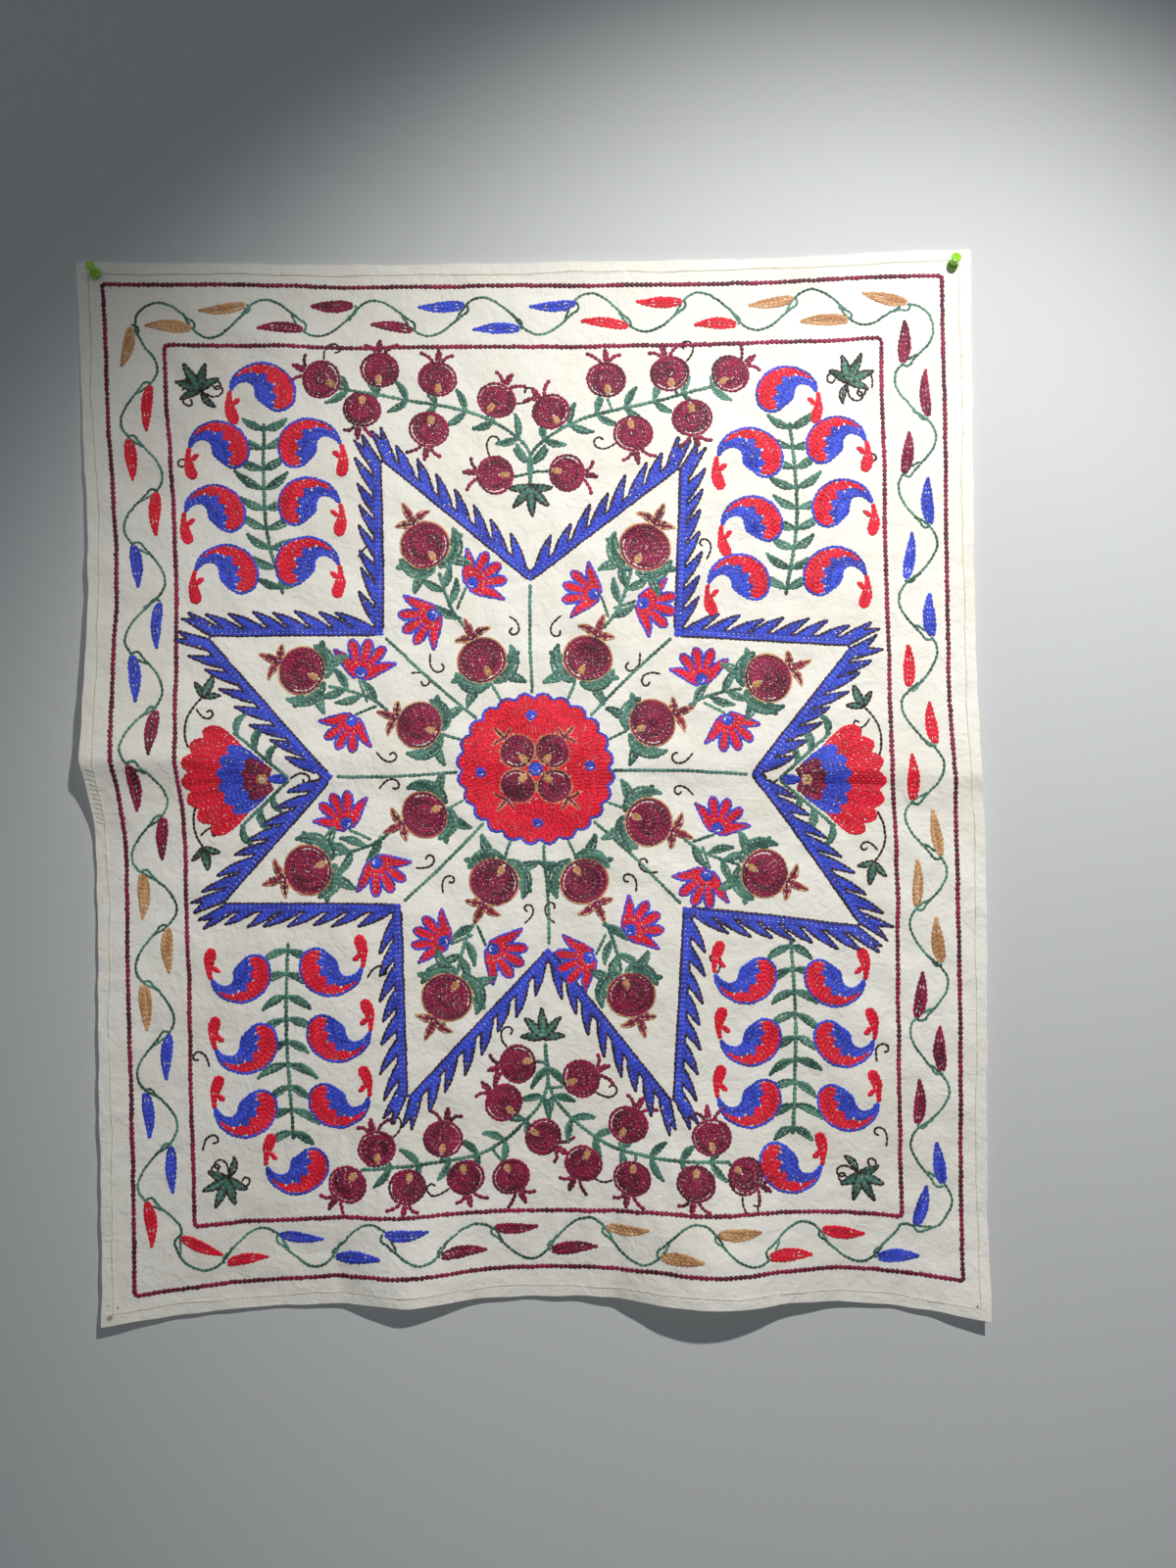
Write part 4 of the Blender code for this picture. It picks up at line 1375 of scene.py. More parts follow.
@dataclass(frozen=True)
class Star:
    """The eight-pointed star: rosette, spokes, flame-edged band, and a fruiting stem in every arm."""

    centre: tuple[float, float] = (0.0, -0.490)
    rosette_radius: float = 0.0755
    # each point's direction and reach, then the notch that follows it clockwise
    tips: tuple[tuple[float, float], ...] = ((63.8, 0.321), (20.9, 0.322), (-26.6, 0.338), (-69.2, 0.344),
                                             (-112.3, 0.339), (-157.9, 0.325), (156.9, 0.336), (115.0, 0.331))
    notches: tuple[tuple[float, float], ...] = ((43.5, 0.183), (-2.0, 0.203), (-45.0, 0.190),
                                                (-87.7, 0.173), (-136.1, 0.183), (-178.8, 0.191),
                                                (137.5, 0.194), (91.0, 0.181))
    tooth_length: float = 0.034
    tooth_width: float = 0.0125
    band_width: float = 0.0090

    def place(self, turn: float, reach: float) -> Array:
        """Return a place at a direction and distance from the star's middle."""
        return np.array(self.centre) + reach * heading(turn)

    def sew(self, work: Embroidery) -> None:
        """Sew the star."""
        self.rosette(work)
        for k, (turn, _) in enumerate(self.tips):
            self.arm(work, turn, k)
        self.band(work)
        for turn, reach in self.notches:
            spoke = smooth_line([tuple(self.place(turn, self.rosette_radius - 0.002)),
                                 tuple(self.place(turn + 0.6, 0.13)), tuple(self.place(turn, reach - 0.003))])
            work.sew("star", [Row(spoke, Thread.GREEN, 1.1)])

    def rosette(self, work: Embroidery) -> None:
        """Sew the red rosette with its four fruit and its blue dots."""
        motif = Sprig()
        dot = Disc((0, 0), 0.0070)
        motif.sew(dot.spiral(Thread.BLUE), [dot.outline(ROW_PITCH * 0.4)])
        for k in range(4):
            fruit = GiltFruit(0.0178, calyx=False).draw()
            at = tuple(0.0240 * heading(45 + 90 * k + work.nudge(3)))
            spot = Spot(at, 45 + 90 * k + work.nudge(5), 1.0, k % 2 == 1)
            motif.sew([Row(spot.lay(r.places), r.thread, r.girth, r.closed) for r in fruit.rows],
                      [spot.lay(c) for c in fruit.covers])
            dot = Disc(tuple(0.0520 * heading(90 * k + work.nudge(4))), 0.0056)
            motif.sew(dot.spiral(Thread.BLUE), [dot.outline(ROW_PITCH * 0.4)])
        disc = Disc((0, 0), self.rosette_radius, lobes=24, lobe_depth=0.085, steps=240, squash=0.985)
        motif.sew([disc.rim(Thread.BLUE), *disc.rings(Thread.RED, ROW_PITCH * 0.95)], [disc.outline()])
        work.place("rosette", motif, Spot(self.centre))

    def arm(self, work: Embroidery, turn: float, k: int) -> None:
        """Sew one arm's two fruit, two tulips, stem, leaves and curls."""
        flip = k % 2 == 0
        side = -1 if flip else 1
        sway = work.nudge(1.0)
        outer = self.place(turn + sway, work.vary(0.238, 0.015))
        inner = self.place(turn - sway, work.vary(0.1175, 0.02))
        for at in (outer, inner):
            spot = Spot(tuple(at), turn + work.nudge(8), work.vary(1.0, 0.04), flip)
            work.place("star", GiltFruit(0.0242).draw(), spot)
        for way, reach in ((1, 0.178), (-1, 0.188)):
            root = self.place(turn + way * 5.0, reach)
            spot = Spot(tuple(root), turn + way * (88 + work.nudge(10)), work.vary(1.03, 0.05))
            work.place("star", Tulip().draw(), spot)
        top, foot = self.place(turn, 0.211), self.place(turn, 0.150)
        stem = smooth_line([tuple(foot), tuple(self.place(turn + side * 1.5, 0.170)),
                            tuple(self.place(turn + side, 0.192)), tuple(top)])
        work.sew("star", [Row(stem, Thread.GREEN, 1.2)])
        for reach, way, swing in ((0.164, side, 34), (0.180, -side, 38), (0.194, side, 36),
                                  (0.196, -side, 40)):
            root = self.place(turn + side, reach)
            work.place("star", Leaf(0.026, 0.0085, -way * 34.0).draw(), Spot(tuple(root), turn + way * swing))
        for way, reach in ((1, 0.178), (-1, 0.188)):
            stalk = np.array([self.place(turn, reach - 0.016), self.place(turn + way * 5.0, reach)])
            work.sew("star", [Row(stalk, Thread.GREEN)])
        for way in (1, -1):
            root = self.place(turn + way * 16, 0.150)
            path = curl_path(tuple(root), turn + 180 - way * 30, 0.036, way * (300 + work.nudge(40)))
            work.sew("star", [Row(path, Thread.DARK, 0.72)])
        foot_stalk = np.array([self.place(turn, 0.0745), self.place(turn + 1, 0.094)])
        work.sew("star", [Row(foot_stalk, Thread.GREEN)])

    def band(self, work: Embroidery) -> None:
        """Sew the blue band with its dark edges and its teeth."""
        corners: list[Array] = []
        for tip, notch in zip(self.tips, self.notches):
            corners += [self.place(*tip), self.place(*notch)]
        middle = np.array(self.centre)
        band = Sprig()
        teeth: list[Blade] = []
        bars: list[Blade] = []
        for k in range(16):
            a, b = corners[k], corners[(k + 1) % 16]
            tip, notch = (a, b) if k % 2 == 0 else (b, a)
            run = tip - notch
            long = float(np.linalg.norm(run))
            run = run / long
            out = np.array([-run[1], run[0]])
            if np.dot(out, (tip + notch) / 2 - middle) < 0:
                out = -out
            turn = math.degrees(math.atan2(run[1], run[0]))
            way = 1 if run[0] * out[1] - run[1] * out[0] > 0 else -1
            root = notch + out * self.band_width / 2
            bars.append(Blade((root[0], root[1]), turn, long, self.band_width, 0, Profile.BAND))
            count = 8
            for j in range(count):
                at = notch + run * long * (j + 0.75) / count + out * self.band_width * 0.55
                lean = 40 + work.nudge(4) - (14 if j == count - 1 else 0)
                teeth.append(Blade((at[0], at[1]), turn + way * lean, work.vary(self.tooth_length, 0.10),
                                   work.vary(self.tooth_width, 0.08), -way * 14, Profile.FLAME))
        for turn, reach in self.tips:
            for swing in (-9, 9):
                root = self.place(turn + swing * 0.12, reach - 0.004)
                teeth.append(Blade((root[0], root[1]), turn + swing * 1.6, 0.034, self.tooth_width, 0,
                                   Profile.FLAME))
        band.union(bars + teeth, Thread.BLUE, Thread.DARK, 2.6 * MM)
        work.sew("band", band.rows, band.covers)


@dataclass(frozen=True)
class CornerPanel:
    """One corner's stem of peppers, with the lily beside it."""

    name: str
    # each pepper's middle on the cloth, and the way its stalk end points
    peppers: tuple[tuple[float, float], ...]
    end: tuple[float, float]
    stem: tuple[tuple[float, float], ...]
    lily: tuple[float, float]
    lily_turn: float
    foot_down: bool

    def sew(self, work: Embroidery) -> None:
        """Sew the panel."""
        middle = self.stem[0][0]
        up = 1 if self.foot_down else -1
        outer_middle = middle - 0.02 * math.copysign(1, middle)
        work.place("panels", Pepper().draw(), self.spot(self.end, outer_middle, up, work))
        for place in self.peppers:
            work.place("panels", Pepper().draw(), self.spot(place, middle, up, work))
        work.place("panels", Lily().draw(), Spot(self.lily, self.lily_turn))
        line = smooth_line(self.stem)
        work.sew("panels", [Row(line, Thread.GREEN, 1.25)])
        along = measured(line)
        for k, share in enumerate(np.linspace(0.04, 0.97, 9)):
            at = [float(np.interp(share * along[-1], along, line[:, c])) for c in range(2)]
            for way in (1, -1):
                long = 0.032 if k % 2 else 0.026
                work.place("panels", Leaf(work.vary(long, 0.1), 0.0085, -way * 40.0).draw(),
                           Spot(tuple(at), (90 if self.foot_down else -90) + way * (62 + work.nudge(8))))
        side = math.copysign(1, middle)
        for x, y, turn, wind in ((0.325, 0.01, 80, 300), (0.317, -0.07, 100, -300), (0.165, -0.15, 60, 290)):
            root = (side * x, self.stem[0][1] + up * 0.02 + (0.165 + y) * up)
            work.sew("panels", [Row(curl_path(root, turn, 0.036, wind * side), Thread.DARK, 0.72)])

    @staticmethod
    def spot(at: tuple[float, float], middle: float, up: int, work: Embroidery) -> Spot:
        """Return how one pepper lies: its back away from the foot, its tail on the outer side."""
        right = at[0] > middle
        x, y = at[0] + (-0.011 if right else 0.011), at[1] - 0.020 * up
        turn = 90 + work.nudge(6)
        return Spot((x, y), turn if up > 0 else turn + 180, work.vary(0.93, 0.04), flip=right == (up < 0))


@dataclass(frozen=True)
class FruitBranch:
    """The branching stem of small pomegranates between two arms of the star."""

    name: str
    lily: tuple[float, float]
    lily_turn: float
    fruits: tuple[tuple[float, float], ...]
    branches: tuple[tuple[tuple[float, float], ...], ...]

    def sew(self, work: Embroidery) -> None:
        """Sew the branch."""
        lines = [smooth_line(stops) for stops in self.branches]
        every = np.vstack(lines)
        stalks: list[Row] = []
        for k, (x, y) in enumerate(self.fruits):
            at = np.array([x, y])
            away = at - every
            near = every[int(np.argmin(np.linalg.norm(away, axis=1)))]
            turn = math.degrees(math.atan2(at[1] - near[1], at[0] - near[0])) + work.nudge(10)
            spot = Spot((x, y), turn, work.vary(1.0, 0.05), k % 2 == 1)
            work.place("fruit", PlainFruit(twist=37.0 * k).draw(), spot)
            stalks.append(Row(np.array([near, at - 0.0165 * heading(turn)]), Thread.GREEN))
            if k % 3 == 0:
                root = tuple(at + 0.017 * heading(turn - 70))
                curl = curl_path(root, turn - 60, 0.040, 290 if k % 2 else -290)
                stalks.append(Row(curl, Thread.DARK, 0.72))
        work.place("fruit", Lily(curled=False).draw(), Spot(self.lily, self.lily_turn))
        for line in lines:
            work.sew("fruit", [Row(line, Thread.GREEN, 1.2)])
            along = measured(line)
            for share in np.arange(0.10, 0.99, 0.028 / along[-1]):
                at = [float(np.interp(share * along[-1], along, line[:, c])) for c in range(2)]
                ahead = [float(np.interp(share * along[-1] + 0.004, along, line[:, c])) for c in range(2)]
                turn = math.degrees(math.atan2(ahead[1] - at[1], ahead[0] - at[0]))
                for way in (1, -1):
                    work.place("fruit", Leaf(work.vary(0.024, 0.12), 0.0075, -way * 36.0).draw(),
                               Spot(tuple(at), turn + way * (48 + work.nudge(8))))
        work.sew("fruit", stalks)


CORNERS = (
    CornerPanel("upper left", ((-0.294, -0.176), (-0.301, -0.237), (-0.293, -0.296), (-0.205, -0.176),
                               (-0.209, -0.231), (-0.214, -0.289)), (-0.249, -0.122),
                ((-0.238, -0.318), (-0.252, -0.25), (-0.249, -0.155)), (-0.307, -0.124), 118.0, True),
    CornerPanel("upper right", ((0.208, -0.191), (0.209, -0.253), (0.196, -0.309), (0.292, -0.179),
                                (0.297, -0.240), (0.287, -0.305)), (0.245, -0.128),
                ((0.240, -0.325), (0.252, -0.25), (0.247, -0.16)), (0.302, -0.124), 62.0, True),
    CornerPanel("lower left", ((-0.288, -0.684), (-0.283, -0.750), (-0.282, -0.813), (-0.199, -0.679),
                               (-0.194, -0.743), (-0.195, -0.809)), (-0.234, -0.871),
                ((-0.240, -0.652), (-0.243, -0.74), (-0.238, -0.840)), (-0.300, -0.874), -118.0, False),
    CornerPanel("lower right", ((0.194, -0.695), (0.196, -0.754), (0.195, -0.812), (0.278, -0.696),
                                (0.286, -0.754), (0.288, -0.815)), (0.234, -0.872),
                ((0.236, -0.655), (0.240, -0.74), (0.236, -0.842)), (0.298, -0.876), -62.0, False),
)
BRANCHES = (
    FruitBranch("upper", (0.0, -0.215), -90.0,
                ((-0.193, -0.112), (-0.138, -0.102), (-0.084, -0.111), (-0.029, -0.132), (-0.156, -0.141),
                 (-0.094, -0.160), (-0.033, -0.205), (0.022, -0.144), (0.075, -0.114), (0.135, -0.109),
                 (0.192, -0.111), (0.035, -0.204), (0.099, -0.167), (0.155, -0.153)),
                (((0.0, -0.216), (-0.002, -0.178), (-0.048, -0.146), (-0.110, -0.132), (-0.178, -0.120)),
                 ((0.0, -0.216), (0.004, -0.182), (0.050, -0.152), (0.112, -0.138), (0.178, -0.122)))),
    FruitBranch("lower", (0.0, -0.752), 90.0,
                ((-0.024, -0.775), (-0.038, -0.812), (-0.096, -0.845), (-0.159, -0.852), (-0.187, -0.886),
                 (-0.130, -0.889), (-0.075, -0.883), (-0.032, -0.884), (-0.001, -0.846), (0.036, -0.790),
                 (0.037, -0.872), (0.080, -0.834), (0.083, -0.885), (0.158, -0.845), (0.142, -0.887),
                 (0.189, -0.881)),
                (((0.002, -0.756), (0.000, -0.808), (-0.050, -0.856), (-0.112, -0.868), (-0.172, -0.872)),
                 ((0.002, -0.756), (0.010, -0.808), (0.058, -0.852), (0.116, -0.866), (0.174, -0.868)))),
)


def embroider() -> Embroidery:
    """Return the panel's embroidery, sewn from its top layer down."""
    work = Embroidery()
    Star().sew(work)
    for (x, y), turn in (((-0.232, -0.495), 180.0), ((0.229, -0.502), 0.0)):
        work.place("carnations", Carnation().draw(), Spot((x, y), turn, 0.97, turn == 0))
        curl = curl_path((x, y), turn + 180 + 35, 0.036, -330)
        work.sew("carnations", [Row(curl, Thread.DARK, 0.8)])
    for x, y, turn, flip in ((-0.313, -0.416, 60, False), (-0.319, -0.558, -75, True),
                             (0.312, -0.433, 120, True), (0.317, -0.580, -110, False)):
        work.place("carnations", Bud().draw(), Spot((x, y), turn, 1.0, flip))
    for branch in BRANCHES:
        branch.sew(work)
        LOG.info("sewed the %s fruit branch", branch.name)
    for panel in CORNERS:
        panel.sew(work)
        LOG.info("sewed the %s corner", panel.name)
    Border().sew(work)
    return work


# ---------------------------------------------------------------------------------------------
# The pieces
# ---------------------------------------------------------------------------------------------

def link(name: str, mesh: bpy.types.Mesh) -> bpy.types.Object:
    """Return a new object in the scene."""
    obj = bpy.data.objects.new(name, mesh)
    bpy.context.scene.collection.objects.link(obj)
    return obj


@dataclass
class Cloth:
    """The cotton ground: a thin sheet, thicker where its hem is turned under."""

    drape: Drape
    across: int = 186
    down: int = 222
    cloth_map: str = "FlatCloth"
    hem_width: float = 9.5 * MM
    hem_step: float = 0.8 * MM
    front: float = 1.30 * MM
    hem_front: float = 1.55 * MM
    back: float = 0.80 * MM
    hem_back: float = 0.10 * MM
    edge_wobble: float = 0.55 * MM

    def stops(self, size: float, count: int) -> Array:
        """Return the grid lines along one side, closer together at the hems."""
        hem = np.array([0, 0.6, 2.5, 6.0, 9.0, 9.5, 9.9, 10.3]) * MM
        inner = np.linspace(0.0135, size - 0.0135, count - 2 * len(hem) + 1)
        return np.concatenate([hem, inner, size - hem[::-1]])

    def face(self, u: Array, v: Array, plain: float, hem: float) -> Array:
        """Return the places of one face of the cloth."""
        edge = np.minimum(np.minimum(u + 0.42, 0.42 - u), np.minimum(v, 1.0 - v))
        lift = hem + (plain - hem) * ease((edge - self.hem_width) / self.hem_step)
        return self.drape.hang(u, v) + self.drape.outward(u, v) * lift[..., None]

    def build(self, material: bpy.types.Material) -> bpy.types.Object:
        """Return the cloth, closed round its edge."""
        us = self.stops(0.84, self.across) - 0.42
        vs = self.stops(1.0, self.down)
        u, v = np.meshgrid(us, vs)
        wobble = self.edge_wobble * (np.sin(v * 61) + np.sin(v * 143 + 1)) / 2
        shown_u = u + wobble * np.exp(-(0.42 - np.abs(u)) / 0.004)
        wobble = self.edge_wobble * (np.sin(u * 57 + 2) + np.sin(u * 131)) / 2
        shown_v = v + wobble * np.exp(-np.minimum(v, 1 - v) / 0.004)
        front = self.face(shown_u, shown_v, self.front, self.hem_front)
        back = self.face(shown_u, shown_v, self.back, self.hem_back)
        rows, cols = u.shape
        index = np.arange(rows * cols).reshape(rows, cols)
        a, b, c, d = index[:-1, :-1], index[1:, :-1], index[1:, 1:], index[:-1, 1:]
        quads = [np.stack([a, b, c, d], -1).reshape(-1, 4)]
        n = rows * cols
        quads.append(np.stack([a, d, c, b], -1).reshape(-1, 4) + n)
        ring = np.concatenate([index[0, :-1], index[:-1, -1], index[-1, :0:-1], index[:0:-1, 0]])
        after = np.roll(ring, -1)
        quads.append(np.stack([ring, after, after + n, ring + n], -1))
        places = np.vstack([front.reshape(-1, 3), back.reshape(-1, 3)])
        mesh = bpy.data.meshes.new("cotton_panel")
        mesh.from_pydata(places.tolist(), [], np.vstack(quads).tolist())
        flat = np.stack([u.reshape(-1), -v.reshape(-1)], -1)
        flat = np.vstack([flat, flat])
        corner = np.empty(len(mesh.loops), np.int32)
        mesh.loops.foreach_get("vertex_index", corner)
        layer = mesh.uv_layers.new(name=self.cloth_map)
        layer.data.foreach_set("uv", flat[corner].reshape(-1).astype(np.float32))
        mesh.shade_smooth()
        mesh.materials.append(material)
        return link("cotton_panel", mesh)


@dataclass
class Stitcher:
    """Turns rows into chain stitches that lie on the hung cloth."""

    STITCH_MAP = "Stitch"

    cloth: Cloth
    stitch: float = 4.5 * MM
    overlap: float = 1.34
    link_width: float = 3.45 * MM
    link_height: float = 1.15 * MM
    sink: float = 0.12 * MM
    hand: np.random.Generator = field(default_factory=lambda: np.random.default_rng(23))

    def template(self) -> bpy.types.Object:
        """Return one chain link, two plump strands with a dip between, one unit long and wide."""
        ring = ((-0.50, 0.0), (-0.27, 0.90), (0.0, 0.42), (0.27, 0.90), (0.50, 0.0))
        places = [(-0.52, 0.0, 0.10)]
        places += [(-0.20, y * 0.86, z) for y, z in ring]
        places += [(0.24, y, z * 0.96) for y, z in ring]
        places.append((0.50, 0.0, 0.22))
        faces = []
        for k in range(5):
            n = (k + 1) % 5
            faces.append((0, 1 + n, 1 + k))
            faces += [(1 + k, 1 + n, 6 + n), (1 + k, 6 + n, 6 + k)]
            faces.append((6 + k, 6 + n, 11))
        mesh = bpy.data.meshes.new("chain_link")
        mesh.from_pydata(places, [], faces)
        bm = bmesh.new()
        bm.from_mesh(mesh)
        bmesh.ops.recalc_face_normals(bm, faces=bm.faces)
        bm.to_mesh(mesh)
        bm.free()
        layer = mesh.uv_layers.new(name=self.STITCH_MAP)
        for loop, uv in zip(mesh.loops, layer.data):
            p = mesh.vertices[loop.vertex_index].co
            uv.uv = (p.x, p.y)
        mesh.shade_smooth()
        return link("chain_link", mesh)

    def tree(self) -> bpy.types.NodeTree:
        """Return the node tree that lays a link at every stitch."""
        group = bpy.data.node_groups.new("Chain stitches", "GeometryNodeTree")
        group.interface.new_socket("Geometry", in_out="INPUT", socket_type="NodeSocketGeometry")
        group.interface.new_socket("Link", in_out="INPUT", socket_type="NodeSocketObject")
        group.interface.new_socket("Thread", in_out="INPUT", socket_type="NodeSocketMaterial")
        group.interface.new_socket("Geometry", in_out="OUTPUT", socket_type="NodeSocketGeometry")
        t = Tree(group)
        inside_node, out = t.node("NodeGroupInput"), t.node("NodeGroupOutput")
        shape = t.node("GeometryNodeObjectInfo", {"Object": inside_node.outputs["Link"]})
        facing = t.node("GeometryNodeInputNamedAttribute", {"Name": "facing"}, data_type="FLOAT_VECTOR")
        along = t.node("GeometryNodeInputNamedAttribute", {"Name": "along"}, data_type="FLOAT_VECTOR")
        size = t.node("GeometryNodeInputNamedAttribute", {"Name": "size"}, data_type="FLOAT_VECTOR")
        turn = t.node("FunctionNodeAxesToRotation", {0: facing.outputs[0], 1: along.outputs[0]},
                      primary_axis="Z", secondary_axis="X")
        lay = t.node("GeometryNodeInstanceOnPoints", {"Points": inside_node.outputs["Geometry"],
                                                      "Instance": shape.outputs["Geometry"],
                                                      "Rotation": turn.outputs[0], "Scale": size.outputs[0]})
        real = t.node("GeometryNodeRealizeInstances", {"Geometry": lay.outputs[0]})
        dress = t.node("GeometryNodeSetMaterial", {"Geometry": real.outputs[0],
                                                   "Material": inside_node.outputs["Thread"]})
        t.link(dress.outputs[0], out.inputs[0])
        return group

    def stations(self, rows: Sequence[Row], stitch: float) -> tuple[Array, ...]:
        """Return every stitch's place, facing, direction, size, dye and shade."""
        flat, ahead, girth, dye = [], [], [], []
        for row in rows:
            path = resampled(row.places, stitch, row.closed)
            if len(path) < 2:
                continue
            ends = np.vstack([path, path[:1]]) if row.closed else path
            flat.append((ends[1:] + ends[:-1]) / 2)
            ahead.append(ends[1:] - ends[:-1])
            count = len(ends) - 1
            girth.append(np.full(count, row.girth))
            start, wave = self.hand.uniform(0, math.tau), self.hand.uniform(9, 22)
            lot = self.hand.uniform(0.25, 0.75)
            dye.append(np.clip(lot + 0.42 * np.sin(np.arange(count) * math.tau / wave + start), 0, 1))
        f, s = np.vstack(flat), np.vstack(ahead)
        g, d = np.concatenate(girth), np.concatenate(dye)
        f = f + self.hand.normal(0, 0.00016, f.shape)
        u, v = f[:, 0], -f[:, 1]
        drape = self.cloth.drape
        facing = drape.outward(u, v)
        back, on = drape.hang(u, v), drape.hang(u + s[:, 0] * 0.5, v - s[:, 1] * 0.5)
        along = on - back
        along /= np.linalg.norm(along, axis=1, keepdims=True)
        edge = np.minimum(np.minimum(u + 0.42, 0.42 - u), np.minimum(v, 1 - v))
        lift = np.where(edge < self.cloth.hem_width, self.cloth.hem_front, self.cloth.front) - self.sink
        place = back + facing * lift[:, None]
        jitter = self.hand.uniform(0.90, 1.10, (len(f), 3))
        size = np.stack([np.linalg.norm(s, axis=1) * self.overlap, self.link_width * g,
                         self.link_height * np.sqrt(g)], axis=1) * jitter
        return place, facing, along, size, d, self.hand.uniform(0, 1, len(f))

    def build(self, name: str, rows: Sequence[Row], shape: bpy.types.Object, tree: bpy.types.NodeTree,
              material: bpy.types.Material, stitch: float = 0.0) -> bpy.types.Object:
        """Return one joined mesh of stitches.

        Args:
            name: the piece's name.
            rows: its rows.
            shape: one link.
            tree: the node tree that lays the links.
            material: the thread's material.
            stitch: the stitch length, where it isn't the usual one.

        Returns:
            The piece.
        """
        place, facing, along, size, dye, shade = self.stations(rows, stitch or self.stitch)
        mesh = bpy.data.meshes.new(name)
        mesh.from_pydata(place.tolist(), [], [])
        for title, values in (("facing", facing), ("along", along), ("size", size)):
            layer = mesh.attributes.new(title, "FLOAT_VECTOR", "POINT")
            layer.data.foreach_set("vector", values.astype(np.float32).reshape(-1))
        for title, values in (("dye", dye), ("shade", shade)):
            layer = mesh.attributes.new(title, "FLOAT", "POINT")
            layer.data.foreach_set("value", values.astype(np.float32))
        obj = link(name, mesh)
        stitches = obj.modifiers.new("Stitches", "NODES")
        stitches.node_group = tree
        for item in tree.interface.items_tree:
            if item.in_out == "INPUT" and item.name == "Link":
                stitches[item.identifier] = shape
            if item.in_out == "INPUT" and item.name == "Thread":
                stitches[item.identifier] = material
        bpy.context.view_layer.update()
        graph = bpy.context.evaluated_depsgraph_get()
        made = bpy.data.meshes.new_from_object(obj.evaluated_get(graph), preserve_all_data_layers=True,
                                               depsgraph=graph)
        obj.modifiers.remove(stitches)
        obj.data = made
        for title in ("facing", "along", "size"):
            if title in made.attributes:
                made.attributes.remove(made.attributes[title])
        if not len(made.materials):
            made.materials.append(material)
        return obj


@dataclass(frozen=True)
class PushPin:
    """A push pin: a turned plastic head on a steel needle."""

    pin: Pin
    drape: Drape
    tilt: float = 10.0
    hem: float = 2.0 * MM
    clearance: float = 0.3 * MM
    needle_radius: float = 0.6 * MM
    needle_reach: float = 10.5 * MM
    tip_length: float = 2.5 * MM
    socket: float = 5.3 * MM
    # radius and height of the head's outer side, in millimetres, from its flat end to the flange's back
    head: tuple[tuple[float, float], ...] = (
        (0.0, 12.35), (2.2, 12.40), (3.6, 12.50), (4.05, 12.46), (4.35, 12.32), (4.56, 12.05), (4.65, 11.75),
        (4.67, 11.40), (4.62, 11.05), (4.45, 10.70), (4.15, 10.35), (3.70, 9.90), (3.30, 9.40), (3.00, 8.80),
        (2.78, 8.10), (2.62, 7.30), (2.53, 6.50), (2.50, 5.80), (2.54, 5.10), (2.62, 4.45), (2.75, 3.85),
        (2.98, 3.20), (3.30, 2.60), (3.80, 2.15), (4.40, 1.88), (4.85, 1.65), (5.08, 1.38), (5.18, 1.05),
        (5.20, 0.75), (5.14, 0.40), (5.02, 0.14), (4.85, 0.0))

    def frame(self) -> Matrix:
        """Return the pin's frame: origin at the middle of the flange's back, +Z out along the head."""
        at = self.drape.hang(np.array([self.pin.u]), np.array([self.pin.v]))[0] + (0, -self.hem, 0)
        a = math.radians(self.tilt)
        axis = Vector((0, -math.cos(a), math.sin(a)))
        gap = 1.2 * self.clearance + 4.9 * MM * math.sin(a)
        turn = Vector((0, 0, 1)).rotation_difference(axis).to_matrix().to_4x4()
        return Matrix.Translation(Vector(at) + axis * (gap / math.cos(a))) @ turn

    def turned(self, name: str, rings: Sequence[tuple[float, float]],
               material: bpy.types.Material) -> bpy.types.Object:
        """Return a closed piece turned round its axis.

        Args:
            name: the piece's name.
            rings: the radius and height of each ring, along its outer side.
            material: its finish.

        Returns:
            The piece.
        """
        count, frame_matrix = 48, self.frame()
        places, faces, index = [], [], []
        for radius, height in rings:
            many = 1 if radius == 0 else count
            index.append([len(places) + k for k in range(many)])
            for k in range(many):
                a = math.tau * k / count
                places.append(frame_matrix @ Vector((radius * math.cos(a), radius * math.sin(a), height)))
        for one, two in zip(index, index[1:]):
            for k in range(count):
                n = (k + 1) % count
                ring = [one[k % len(one)], two[k % len(two)], two[n % len(two)], one[n % len(one)]]
                faces.append(tuple(dict.fromkeys(ring)))
        mesh = bpy.data.meshes.new(name)
        mesh.from_pydata([tuple(p) for p in places], [], faces)
        bm = bmesh.new()
        bm.from_mesh(mesh)
        bmesh.ops.recalc_face_normals(bm, faces=bm.faces)
        bm.to_mesh(mesh)
        bm.free()
        mesh.shade_smooth()
        mesh.materials.append(material)
        return link(name, mesh)

    def build(self, plastic: bpy.types.Material,
              steel: bpy.types.Material) -> list[tuple[bpy.types.Object, str, str]]:
        """Return the head and the needle, each with its node and its slot."""
        hole = self.needle_radius + self.clearance
        head = [(r * MM, h * MM) for r, h in self.head]
        head += [(hole, 0.0), (hole, self.socket), (0.0, self.socket)]
        top, low = self.socket - self.clearance, -self.needle_reach
        needle = [(0.0, top), (self.needle_radius * 0.8, top), (self.needle_radius, top - 0.1 * MM),
                  (self.needle_radius, low + self.tip_length), (self.needle_radius * 0.6, low + 1.2 * MM),
                  (0.08 * MM, low + 0.1 * MM), (0.0, low)]
        side = self.pin.side
        return [(self.turned(f"{side}_head", head, plastic), f"{side}_pin_head", "pin_plastic"),
                (self.turned(f"{side}_needle", needle, steel), f"{side}_pin_needle", "pin_steel")]


